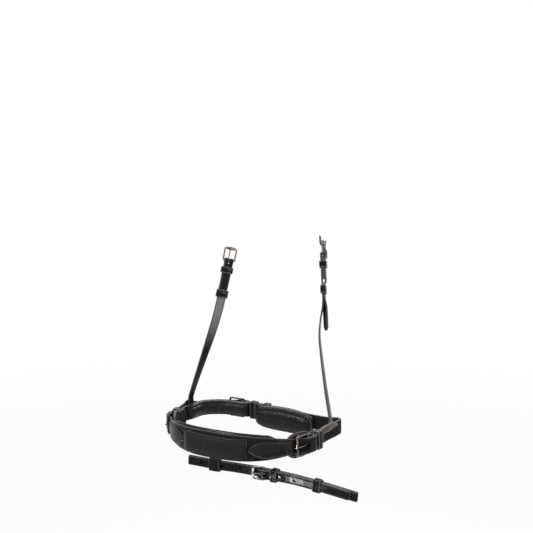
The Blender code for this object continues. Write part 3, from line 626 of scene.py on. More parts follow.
# Holes: rings of points through the leather. Round ones open a little at the outer face.
def holeRings(route, s, w, levels, halfLong, halfWide, sides, squareness=1.0):
    point, tangent, width, normal = route.frame(s)
    rings = []
    for n, spread in levels:
        ring = []
        for k in range(sides):
            turn = 2.0 * math.pi * (k + 0.5) / sides
            x = math.copysign(abs(math.cos(turn)) ** squareness, math.cos(turn))
            y = math.copysign(abs(math.sin(turn)) ** squareness, math.sin(turn))
            ring.append(point + normal * n + tangent * (halfLong + spread) * x
                        + width * (w + (halfWide + spread) * y))
        rings.append(ring)
    return rings


def cutHoles(piece, holes):
    data = bmesh.new()
    for rings in holes:
        bridgeRows(data, [[data.verts.new(p) for p in ring] for ring in rings])
    bmesh.ops.recalc_face_normals(data, faces=data.faces)
    mesh = bpy.data.meshes.new("punch")
    data.to_mesh(mesh)
    data.free()
    punch = bpy.data.objects.new("punch", mesh)
    bpy.context.scene.collection.objects.link(punch)
    change = piece.modifiers.new("punched", "BOOLEAN")
    change.operation = "DIFFERENCE"
    change.solver = "EXACT"
    change.object = punch
    keepEvaluated(piece)
    piece.data.set_sharp_from_angle(angle=math.radians(42.0))
    bpy.data.objects.remove(punch, do_unlink=True)


def keepEvaluated(piece):
    graph = bpy.context.evaluated_depsgraph_get()
    mesh = bpy.data.meshes.new_from_object(piece.evaluated_get(graph), depsgraph=graph)
    mesh.name = piece.data.name
    piece.modifiers.clear()
    old = piece.data
    piece.data = mesh
    bpy.data.meshes.remove(old)


holeSizes = {"radius": 0.0020, "flare": 0.00045, "overrun": 0.004, "under": 0.00015, "prongLong": 0.0110,
             "prongWide": 0.0036, "prongShift": 0.0010, "slotSquare": 0.55, "flareBend": 0.35,
             "flareMouth": 3.0}


def roundHole(route, s, w, low, high):
    over, under, flare = holeSizes["overrun"], holeSizes["under"], holeSizes["flare"]
    bend = flare * holeSizes["flareBend"]
    levels = [(low - under, 0.0), (low + flare, 0.0), (high - flare, 0.0), (high - bend, bend),
              (high, flare), (high + over, flare * holeSizes["flareMouth"])]
    return holeRings(route, s, w, levels, holeSizes["radius"], holeSizes["radius"], 20)


def prongHole(size, route, base, bar, side, w=0.0):
    middle = bar - side * (crossing(size) - holeSizes["prongShift"])
    levels = [(base - holeSizes["overrun"], 0.0),
              (base + foldTop(size) + size["leather"] + holeSizes["overrun"], 0.0)]
    return holeRings(route, middle, w, levels, holeSizes["prongLong"] / 2.0, holeSizes["prongWide"] / 2.0, 24)


def slotHole(size, route, base, bar, side, w=0.0):
    reach = foldTop(size) / 2.0 + buckleSizes["slotGap"]
    middle = bar + side * (buckleSizes["slotBehind"] - reach) / 2.0
    halfLong = (buckleSizes["slotBehind"] + reach) / 2.0
    halfWide = buckleSizes["prong"] + buckleSizes["slotGap"]
    levels = [(base - holeSizes["overrun"], 0.0), (base + foldTop(size) + holeSizes["overrun"], 0.0)]
    return holeRings(route, middle, w, levels, halfLong, halfWide, 20, holeSizes["slotSquare"])


# Padding: the cover is sewn down at its seams and filled, so it swells and creases between them.
# It is worked ten times larger, where cloth behaves, and no point moves further than the cap.
plumping = {"scale": 10.0, "frames": 20, "quality": 6, "mass": 0.3, "tension": 15.0, "bending": 0.4}


def plumpUp(piece, sewn, look):
    if not look["pressure"]:
        return
    scene = bpy.context.scene
    scale = plumping["scale"]
    trial = bpy.data.objects.new("plumping", piece.data.copy())
    scene.collection.objects.link(trial)
    for vertex in trial.data.vertices:
        vertex.co = vertex.co * scale
    group = trial.vertex_groups.new(name="sewn")
    for index, weight in enumerate(sewn):
        group.add([index], weight, "REPLACE")
    cloth = trial.modifiers.new("cloth", "CLOTH")
    cloth.settings.quality = plumping["quality"]
    cloth.settings.mass = plumping["mass"]
    cloth.settings.tension_stiffness = plumping["tension"]
    cloth.settings.compression_stiffness = plumping["tension"]
    cloth.settings.shear_stiffness = plumping["tension"] / 3.0
    cloth.settings.bending_stiffness = plumping["bending"]
    cloth.settings.vertex_group_mass = "sewn"
    cloth.settings.use_pressure = True
    cloth.settings.uniform_pressure_force = look["pressure"]
    cloth.settings.shrink_min = -look["spare"]
    cloth.settings.effector_weights.gravity = 0.0
    cloth.collision_settings.use_collision = False
    cloth.point_cache.frame_start = 1
    cloth.point_cache.frame_end = plumping["frames"]
    for step in range(1, plumping["frames"] + 1):
        scene.frame_set(step)
    filled = trial.evaluated_get(bpy.context.evaluated_depsgraph_get()).data
    for vertex, after in zip(piece.data.vertices, filled.vertices):
        move = after.co / scale - vertex.co
        if move.length > look["cap"]:
            move = move.normalized() * look["cap"]
        vertex.co = vertex.co + move
    bpy.data.objects.remove(trial, do_unlink=True)
    scene.frame_set(1)


cushionShape = {"endLow": 0.25, "crownPower": 0.275, "nearWidth": 3.5, "finerAlong": 2.3, "finerAcross": 1.7,
                "finerShare": 0.5, "leastShare": 0.12, "endCrowding": 0.30, "rimPress": 0.0006,
                "sewnPress": 0.0004}


# A cushion: flat back, crowned face, drawn-in ends, with sewn seams pressed into the face.
# seams hold (edge, distance, width, depth). The edge is low, high, start or end, or hood, which
# follows both ends and the high edge in one line.
def makeCushion(name, route, start, end, back, depth, edges, material, look):
    steps, around = look["steps"], look["around"]
    sign = math.copysign(1.0, depth)
    span = abs(end - start)

    def seamAt(s, w, low, high):
        distances = {"low": w - low, "high": high - w, "start": abs(s - start), "end": abs(end - s)}
        corner = look.get("corner", 0.0)
        side = min(distances["start"], distances["end"]) * look.get("endStretch", 1.0)
        top = distances["high"]
        distances["hood"] = min(side, top)
        if side < corner and top < corner:
            distances["hood"] = corner - math.hypot(corner - side, corner - top)
        press, near = 0.0, 0.0
        for edge, distance, width, deep in look["seams"]:
            share = bell(distances[edge] - distance, width)
            press = max(press, deep * share)
            near = max(near, bell(distances[edge] - distance, width * cushionShape["nearWidth"]))
        return press, near

    def heightAt(s, w):
        low, high = edges(s)
        share = abs(s - start) / span
        nearEnd = min(share, 1.0 - share) / look["endShare"]
        drawn = math.sqrt(max(0.0, 1.0 - max(0.0, 1.0 - nearEnd) ** 2))
        x = min(1.0, max(-1.0, 2.0 * (w - low) / (high - low) - 1.0))
        crown = max(0.0, 1.0 - x * x) ** cushionShape["crownPower"]
        least = cushionShape["endLow"]
        height = abs(depth) * (least + (1.0 - least) * drawn) * crown
        press, near = seamAt(s, w, low, high)
        pull = look["wrinkle"] * (least + (1.0 - least) * near) * crown
        rumple = noise.noise(Vector((s * look["wrinkleAlong"], w * look["wrinkleAcross"], len(name))))
        finer = (s * look["wrinkleAlong"] * cushionShape["finerAlong"],
                 w * look["wrinkleAcross"] * cushionShape["finerAcross"], 9.0)
        rumple += cushionShape["finerShare"] * noise.noise(Vector(finer))
        height = max(cushionShape["leastShare"] * abs(depth) * crown, height - press + pull * rumple)
        return sign * height, press

    data = bmesh.new()
    rimLayer = data.verts.layers.float.new("rim")
    data.verts.layers.float.new("flesh")
    rows, sewn = [], []
    for step in range(steps + 1):
        share = step / steps
        share -= cushionShape["endCrowding"] * (share - (1.0 - math.cos(math.pi * share)) / 2.0)
        s = start + (end - start) * share
        low, high = edges(s)
        row = []
        for k in range(around + 1):
            turn = math.pi * k / around
            w = (low + high) / 2.0 - math.cos(turn) * (high - low) / 2.0
            n, press = heightAt(s, w)
            vertex = data.verts.new(route.place(s, back + n, w))
            vertex[rimLayer] = look.get("seamRim", 0.0) * min(1.0, press / cushionShape["rimPress"])
            held = k < 2 or k > around - 2 or step < 2 or step > steps - 2
            sewn.append(1.0 if held else min(1.0, press / cushionShape["sewnPress"]))
            row.append(vertex)
        for k in range(1, 6):
            row.append(data.verts.new(route.place(s, back, high + (low - high) * k / 6.0)))
            sewn.append(1.0)
        rows.append(row)
    bridgeRows(data, rows)
    piece = newPiece(name, data, material)
    plumpUp(piece, sewn, look)

    def surface(s, w, lift=0.0):
        n = heightAt(s, w)[0]
        return route.place(s, back + n + sign * lift, w), sign * route.frame(s)[3]
    return piece, surface


keeperShape = {"corner": 0.0006, "bow": 0.00018, "bevelShare": 0.42, "rimWidth": 0.0008, "rise": 0.00005,
               "crease": ((0.0011, -0.00012), (0.0018, 0.00030), (0.0025, 0.00005)),
               "edgeTurnsDeg": (-60.0, -20.0, 20.0, 60.0)}


# A keeper: a band of leather bent round the strap, its edges rounded and creased
def makeKeeper(name, route, start, length, halfWidth, low, high, wall, middle, material):
    halfDeep = (high - low) / 2.0
    centre = (high + low) / 2.0
    corner = keeperShape["corner"]
    outline = []
    for across, up, begin in ((1, 1, 0.0), (-1, 1, 90.0), (-1, -1, 180.0), (1, -1, 270.0)):
        for step in range(7):
            turn = math.radians(begin + 15.0 * step)
            outline.append((across * (halfWidth - corner), up * (halfDeep - corner), math.cos(turn),
                            math.sin(turn)))
        wide = (halfWidth - corner) * 2.0 if begin in (0.0, 180.0) else (halfDeep - corner) * 2.0
        for step in range(1, 6):
            share = step / 6.0
            turn = math.radians(begin + 90.0)
            lift = keeperShape["bow"] * math.sin(math.pi * share)
            x = across * (halfWidth - corner) + math.cos(turn + math.pi / 2.0) * wide * share
            y = up * (halfDeep - corner) + math.sin(turn + math.pi / 2.0) * wide * share
            outline.append((x + lift * math.cos(turn), y + lift * math.sin(turn), math.cos(turn),
                            math.sin(turn)))
    bevel = wall * keeperShape["bevelShare"]
    long = abs(length)

    # one end of the band, from inside to outside: its rounded edge, then the crease behind it
    end = []
    for turnDeg in keeperShape["edgeTurnsDeg"]:
        turn = math.radians(turnDeg)
        end.append((bevel * (1.0 - math.cos(turn)), wall / 2.0 + wall / 2.0 * math.sin(turn)))
    end += [(x, wall - deep) for x, deep in keeperShape["crease"]]
    section = [(bevel, 0.0), (long / 2.0, 0.0), (long - bevel, 0.0)]
    section += [(long - x, y) for x, y in end]
    section += [(long / 2.0, wall + keeperShape["rise"])]
    section += reversed(end)
    data = bmesh.new()
    rimLayer = data.verts.layers.float.new("rim")
    data.verts.layers.float.new("flesh")
    rows = []
    way = math.copysign(1.0, length)
    for x, y, c, sTurn in outline:
        row = []
        for along, out in section:
            w = middle + x + (corner + out) * c
            n = centre + y + (corner + out) * sTurn
            vertex = data.verts.new(route.place(start + way * along, n, w))
            # both ends of the band take the lighter rim colour, partly burnished edge and partly a painted
            # highlight
            vertex[rimLayer] = bell(min(along, long - along), keeperShape["rimWidth"])
            row.append(vertex)
        rows.append(row)
    bridgeRows(data, rows, closed=True)
    return newPiece(name, data, material)


# Geometry Nodes: trees are built here, with named inputs, and their results kept as plain meshes
def newTree(name, inputs):
    tree = bpy.data.node_groups.new(name, "GeometryNodeTree")
    tree.interface.new_socket("Geometry", in_out="INPUT", socket_type="NodeSocketGeometry")
    for label, kind, value in inputs:
        tree.interface.new_socket(label, in_out="INPUT", socket_type=kind).default_value = value
    tree.interface.new_socket("Geometry", in_out="OUTPUT", socket_type="NodeSocketGeometry")
    return tree, tree.nodes.new("NodeGroupInput"), tree.nodes.new("NodeGroupOutput")


def setInput(modifier, label, value):
    for item in modifier.node_group.interface.items_tree:
        if item.item_type == "SOCKET" and item.in_out == "INPUT" and item.name == label:
            modifier[item.identifier] = value


def stitchTree(thread):
    tree, given, result = newTree("saddleStitches", [
        ("Stitch Pitch", "NodeSocketFloat", 0.0030), ("Stitch Length", "NodeSocketFloat", 0.0021),
        ("Thread Width", "NodeSocketFloat", 0.00062), ("Thread Height", "NodeSocketFloat", 0.00050),
        ("Seed", "NodeSocketInt", 7)])
    curve = addNode(tree, "GeometryNodeMeshToCurve", links={"Mesh": given.outputs["Geometry"]})
    spaced = addNode(tree, "GeometryNodeResampleCurve", {"mode": "LENGTH"},
                     links={"Curve": curve.outputs["Curve"], "Length": given.outputs["Stitch Pitch"]})
    bead = addNode(tree, "GeometryNodeMeshUVSphere", values={"Segments": 8, "Rings": 5, "Radius": 0.5})
    size = addNode(tree, "ShaderNodeCombineXYZ", links={"X": given.outputs["Stitch Length"],
                                                        "Y": given.outputs["Thread Width"],
                                                        "Z": given.outputs["Thread Height"]})
    shaped = addNode(tree, "GeometryNodeTransform", links={"Geometry": bead.outputs["Mesh"],
                                                          "Scale": size.outputs[0]})
    tangent = addNode(tree, "GeometryNodeInputTangent")
    up = addNode(tree, "GeometryNodeInputNamedAttribute", {"data_type": "FLOAT_VECTOR"}, {"Name": "stitchUp"})
    turn = addNode(tree, "FunctionNodeAxesToRotation", {"primary_axis": "X", "secondary_axis": "Z"},
                   links={0: tangent.outputs[0], 1: up.outputs[0]})
    least, most = threadLook["sizeShares"]
    vary = addNode(tree, "FunctionNodeRandomValue", {"data_type": "FLOAT"}, {2: least, 3: most},
                   {"Seed": given.outputs["Seed"]})
    placed = addNode(tree, "GeometryNodeInstanceOnPoints",
                     links={"Points": spaced.outputs["Curve"], "Instance": shaped.outputs["Geometry"],
                            "Rotation": turn.outputs[0], "Scale": vary.outputs[1]})
    real = addNode(tree, "GeometryNodeRealizeInstances", links={"Geometry": placed.outputs["Instances"]})
    soft = addNode(tree, "GeometryNodeSetShadeSmooth", links={0: real.outputs["Geometry"]})
    addNode(tree, "GeometryNodeSetMaterial", values={"Material": thread},
            links={"Geometry": soft.outputs[0]})
    tree.links.new(tree.nodes[-1].outputs[0], result.inputs[0])
    return tree


def wireTree(name, material):
    tree, given, result = newTree(name, [("Sides", "NodeSocketInt", 20)])
    curve = addNode(tree, "GeometryNodeMeshToCurve", links={"Mesh": given.outputs["Geometry"]})
    thick = addNode(tree, "GeometryNodeInputNamedAttribute", {"data_type": "FLOAT"}, {"Name": "wireRadius"})
    sized = addNode(tree, "GeometryNodeSetCurveRadius",
                    links={"Curve": curve.outputs["Curve"], "Radius": thick.outputs[0]})
    ring = addNode(tree, "GeometryNodeCurvePrimitiveCircle", values={"Radius": 1.0},
                   links={"Resolution": given.outputs["Sides"]})
    skin = addNode(tree, "GeometryNodeCurveToMesh", values={"Fill Caps": True},
                   links={"Curve": sized.outputs["Curve"], "Profile Curve": ring.outputs["Curve"]})
    if "Scale" in skin.inputs:
        tree.links.new(thick.outputs[0], skin.inputs["Scale"])
    real = addNode(tree, "GeometryNodeRealizeInstances", links={"Geometry": skin.outputs["Mesh"]})
    soft = addNode(tree, "GeometryNodeSetShadeSmooth", links={0: real.outputs["Geometry"]})
    addNode(tree, "GeometryNodeSetMaterial", values={"Material": material},
            links={"Geometry": soft.outputs[0]})
    tree.links.new(tree.nodes[-1].outputs[0], result.inputs[0])
    return tree


# A mesh of plain lines with one attribute for each point, ready for a tree
def linesObject(name, lines, attribute, kind, closed=False):
    mesh = bpy.data.meshes.new(name)
    points, links, values = [], [], []
    for line in lines:
        first = len(points)
        points += [p for p, _ in line]
        values += [v for _, v in line]
        links += [(k, k + 1) for k in range(first, len(points) - 1)]
        if closed:
            links.append((len(points) - 1, first))
    mesh.from_pydata(points, links, [])
    layer = mesh.attributes.new(attribute, kind, "POINT")
    if kind == "FLOAT_VECTOR":
        layer.data.foreach_set("vector", [x for v in values for x in v])
    else:
        layer.data.foreach_set("value", values)
    piece = bpy.data.objects.new(name, mesh)
    bpy.context.scene.collection.objects.link(piece)
    return piece


def grow(piece, tree, inputs, material):
    change = piece.modifiers.new(tree.name, "NODES")
    change.node_group = tree
    for label, value in inputs.items():
        setInput(change, label, value)
    keepEvaluated(piece)
    if not piece.data.materials:
        piece.data.materials.append(material)
    return piece


stitchLines = {}


def stitchAlong(body, line, tone="dark"):
    stitchLines.setdefault((body, tone), []).append(line)


def routeSeam(route, start, end, level, across, step=0.0015, up=1.0):
    count = max(2, round(abs(end - start) / step))
    line = []
    for k in range(count + 1):
        s = start + (end - start) * k / count
        n = level(s) if callable(level) else level
        w = across(s) if callable(across) else across
        line.append((route.place(s, n, w), up * route.frame(s)[3]))
    return line


weltLines = []


def weltAlong(line, radius):
    weltLines.append([(point, radius) for point in line])


# Each finished piece rides on its body and stands for its solids
def finishPiece(piece, body, slot, *nodes):
    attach(piece, body)
    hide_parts(*nodes)
    return piece


buckleBodies = {"nearSide": "near_side", "offSide": "off_side", "chin": "chin", "nearCheek": "near_cheek",
                "offCheek": "off_cheek", "flash": "flash"}


# A roller buckle: a bent wire frame, a prong hooked round its bar, and a rolled tube on its front bar
def makeBuckle(prefix, size, route, base, bar, side, w=0.0):
    # the chin and off-side buckles take the near-black steel, which is painted shade
    metal = shadeDarkSteel if prefix in ("chin", "offSide") else steel
    point, _, width, normal = route.frame(bar)
    centre = point + normal * (base + barHeight(size)) + width * w
    frontPoint, _, frontWidth, frontNormal = route.frame(bar - side * size["length"])
    overStrap = size["leather"] + 2.0 * leatherStock["layerGap"] + rollerRadius(size)
    level = base + max(barHeight(size), overStrap)
    aim = frontPoint + frontNormal * level + frontWidth * w - centre
    along = (aim - width * aim.dot(width)).normalized()
    up = (normal - along * normal.dot(along)).normalized()
    front = centre + along * size["length"]
    half = size["width"] / 2.0 + buckleSizes["sideGap"] + size["bar"]
    corner = buckleSizes["corner"]

    path = []
    corners = ((0.0, -half), (size["length"], -half), (size["length"], half), (0.0, half))
    for index, (x, y) in enumerate(corners):
        innerX = corner if x == 0.0 else size["length"] - corner
        innerY = y - math.copysign(corner, y)
        for step in range(13):
            turn = math.radians(180.0 + 90.0 * index + 7.5 * step)
            path.append(centre + along * (innerX + corner * math.cos(turn))
                        + width * (innerY + corner * math.sin(turn)))
    gauge = size.get("wire", size["bar"])
    body = buckleBodies[prefix] + "_buckle"
    wire = linesObject(prefix + "BuckleFrameSteel", [[(p, gauge) for p in path]], "wireRadius", "FLOAT", True)
    finishPiece(grow(wire, wires[metal.name], {"Sides": 20}, metal), body, "steel", body + "_frame")

    eye = size["bar"] + buckleSizes["barGap"] + buckleSizes["prong"]
    over = rollerRadius(size) + leatherStock["layerGap"] + buckleSizes["prong"]
    hook = []
    for step in range(25):
        turn = math.radians(buckleSizes["hookFromDeg"] - buckleSizes["hookTurnDeg"] * step / 24.0)
        hook.append((centre + along * eye * math.cos(turn) + up * eye * math.sin(turn), buckleSizes["prong"]))
    for step in range(1, 16):
        share = step / 15.0
        hook.append((centre + along * size["length"] * share + up * (eye + (over - eye) * share),
                     buckleSizes["prong"]))
    reach = buckleSizes["prongOverhang"]
    for share, thick in buckleSizes["prongTip"]:
        hook.append((centre + along * (size["length"] + reach * share) + up * over,
                     buckleSizes["prong"] * thick))
    prong = linesObject(prefix + "BuckleProngSteel", [hook], "wireRadius", "FLOAT")
    finishPiece(grow(prong, wires[metal.name], {"Sides": 14}, metal), body + "_prong", "steel",
                body + "_prong")

    length = 2.0 * (half - corner) - leatherStock["layerGap"]
    inner = gauge + buckleSizes["barGap"]
    outer = inner + size.get("wall", buckleSizes["rollerWall"])
    edge = [(share, outer - low) for share, low in buckleSizes["rollerEdge"]]
    profile = [(-0.5, inner)] + [(-share, r) for share, r in edge] + [(0.0, outer)]
    profile += list(reversed(edge)) + [(0.5, inner)]
    data = bmesh.new()
    rows = []
    for k in range(36):
        turn = 2.0 * math.pi * k / 36.0
        out = along * math.cos(turn) + width.cross(along) * math.sin(turn)
        seam = 0.0 if k else buckleSizes["buttSeam"]  # where the rolled tube's edges meet
        row = []
        for x, r in profile:
            row.append(data.verts.new(front + width * length * x + out * (r + (seam if r > inner else 0.0))))
        rows.append(row)
    bridgeRows(data, rows, closed=True)
    # the flash roller takes the near-white steel, which is a painted highlight
    metal = highlightSteel if prefix == "flash" else metal
    finishPiece(newPiece(prefix + "BuckleRollerSteel", data, metal), body + "_roller", "steel",
                body + "_roller")


setCamera(photoView)
buildStudio()
# Dyed butt, waxed and rolled hard: near black and smooth, with long clear reflections and a grey edge, partly
# burnished and partly a painted highlight
bridleLeather = leatherMaterial("waxedBridleLeather", finishes["bridle"])
# Thin hide drawn over filling: a softer black lifted towards dark grey, partly its own tone and partly a
# painted sheen; its sheen breaks up in the creases
softLeather = leatherMaterial("softPaddedLeather", finishes["soft"])
# Hide pressed under a pebbled plate: many small glints and no long reflection
pebbleLeather = leatherMaterial("pebbledLeafLeather", finishes["pebble"])
# Narrow strips turned over the cut edges: a pale brown line round the black, partly the binding's own colour
# and partly a painted highlight on the rounded edge
bindingAndHighlightLeather = leatherMaterial("bindingLeatherPaintedHighlight", finishes["binding"])
# The binding hide, a little darker, on the near tab only: a dull brown-grey that is painted light, while the
# off tab in shade keeps the black bridle leather
nearTabLitLeather = leatherMaterial("paintedLightTabLeather", finishes["tab"])
# Bridle leather with a light line at both ends of each band: partly the burnished edge, partly a painted
# highlight
keeperLitEndsLeather = leatherMaterial("keeperLeatherPaintedEnds", finishes["keeper"])
# Linen drawn through wax: matt and a little uneven, so that each stitch stays apart from the next. The pale
# tone is black thread painted light, a painted highlight for its glints
threads = {tone: threadMaterial(tone + "WaxedLinenThread", hexes) for tone, hexes in threadAndGlintHexes.items()}
# Wire bent, welded and tumbled: a warm grey mirror, slightly wavy, its base painted darker than bare steel as
# painted shade for the dark surroundings it reflects
steel = steelMaterial("polishedStainlessSteel", steelHexes["frame"])
# The same wire painted near black: painted shade for the chin and off-side buckles, which lie in shadow
# behind the straps; hardly lighter than the leather
shadeDarkSteel = steelMaterial("paintedShadeSteel", steelHexes["shadeDark"])
# The flash roller's steel painted near white: a painted highlight for the lamp it mirrors, the one light spot
# of the flash strap
highlightSteel = steelMaterial("paintedHighlightSteel", steelHexes["highlightWhite"])
wires = {metal.name: wireTree("bentWire", metal) for metal in (steel, shadeDarkSteel)}
welts = wireTree("leatherWelt", bindingAndHighlightLeather)
stitches = {tone: stitchTree(thread) for tone, thread in threads.items()}
print("noseband: studio, camera and finishes ready")

# The ring round nose and jaw, from the front middle round by the near side
ringShape = {
    "halfWidth": 0.104,
    "halfDepth": 0.077,
    "sag": 0.0025,
    "shares": [
        (0.0, -1.0, 0.0), (0.31, -0.965, 0.0), (0.58, -0.82, 0.0), (0.79, -0.58, 0.0), (0.93, -0.29, 0.2),
        (0.985, 0.03, 0.4), (1.01, 0.36, 0.6), (1.03, 0.66, 0.4), (0.985, 0.88, -0.6), (0.8, 0.95, -1.8),
        (0.55, 0.95, -1.6), (0.25, 0.965, -1.0), (-0.1, 0.985, -1.0), (-0.42, 0.98, -0.8),
        (-0.7, 0.92, -0.7), (-0.9, 0.72, -0.7), (-0.95, 0.4, -0.5), (-0.94, 0.05, -0.2),
        (-0.89, -0.3, 0.0), (-0.765, -0.58, 0.0), (-0.57, -0.82, 0.0), (-0.31, -0.965, 0.0)],
    "strapWidth": 0.020,
    "strapRise": 0.0015,
}
ring = StrapRoute(
    curveThrough([(x * ringShape["halfWidth"], y * ringShape["halfDepth"], z * ringShape["sag"])
                  for x, y, z in ringShape["shares"]], True, 32),
    [Vector((0.0, 0.0, 1.0))] * (32 * len(ringShape["shares"])), closed=True)

# Nosepiece: strap, rolled lining, padded cover and two stitched leaves
noseSizes = {
    "height": 0.034, "reach": 0.098, "taper": 2.5,
    "linerReach": 0.089, "linerDepth": 0.0062, "linerLip": 0.0022, "linerTaper": 0.022,
    "linerDrawLow": 0.004, "linerDrawHigh": 0.003,
    "padReach": 0.0436, "padDepth": 0.0058, "padHeight": 0.0280, "padDrop": 0.0010,
    "leafStart": 0.0442, "leafEnd": 0.0985, "leafDepth": 0.0021, "leafHeight": 0.0255,
    "leafEndHeight": 0.0175, "leafLift": -0.0005, "leafTipShare": 0.12, "leafGrownShare": 0.42,
    "billetRowFrom": 0.0065, "billetRowTo": 0.006, "billetRowOut": 0.0072, "billetRowLift": 0.00005,
    "billetRowStep": 0.001,
    "padSeamIn": 0.0030, "padSeamEnd": 0.003, "weltRadius": 0.0007,
    "padWelts": ((0.0030, 0.0095), (0.0185, 0.0240)), "padWeltIn": 0.0007, "padWeltSink": -0.0002,
    "leafRowIn": 0.0020, "leafRowFrom": 0.004, "leafRowTo": 0.002, "leafEndRows": (0.0045, 0.0080),
    "leafEndRowIn": 0.003, "leafWeltFrom": 0.0004, "leafWeltIn": 0.0006, "leafWeltShare": 0.8,
}
linerLook = {
    "pressure": 3.0, "spare": 0.02, "cap": 0.0008, "steps": 170, "around": 22, "endShare": 0.20,
    "wrinkle": 0.00022, "wrinkleAlong": 150.0, "wrinkleAcross": 40.0,
    "seams": [("high", 0.0034, 0.0006, 0.0009), ("low", 0.0030, 0.0006, 0.0008)],
}
nosePadLook = {
    "pressure": 4.0, "spare": 0.01, "cap": 0.0008, "steps": 130, "around": 30, "endShare": 0.12,
    "wrinkle": 0.00010, "wrinkleAlong": 90.0, "wrinkleAcross": 40.0,
    "seams": [("high", 0.0030, 0.00055, 0.0010), ("low", 0.0026, 0.0005, 0.0006),
              ("start", 0.0014, 0.0005, 0.0008), ("end", 0.0014, 0.0005, 0.0008)],
}
leafLook = {
    "pressure": 0.0, "steps": 90, "around": 20, "endShare": 0.08,
    "wrinkle": 0.00006, "wrinkleAlong": 160.0, "wrinkleAcross": 120.0,
    "seams": [("high", 0.0020, 0.0005, 0.00045), ("low", 0.0020, 0.0005, 0.00045)],
}


def noseHalfHeight(s):
    share = min(1.0, abs(s) / noseSizes["reach"])
    low, high = ringShape["strapWidth"], noseSizes["height"]
    return (low + (high - low) * (1.0 - share ** noseSizes["taper"])) / 2.0


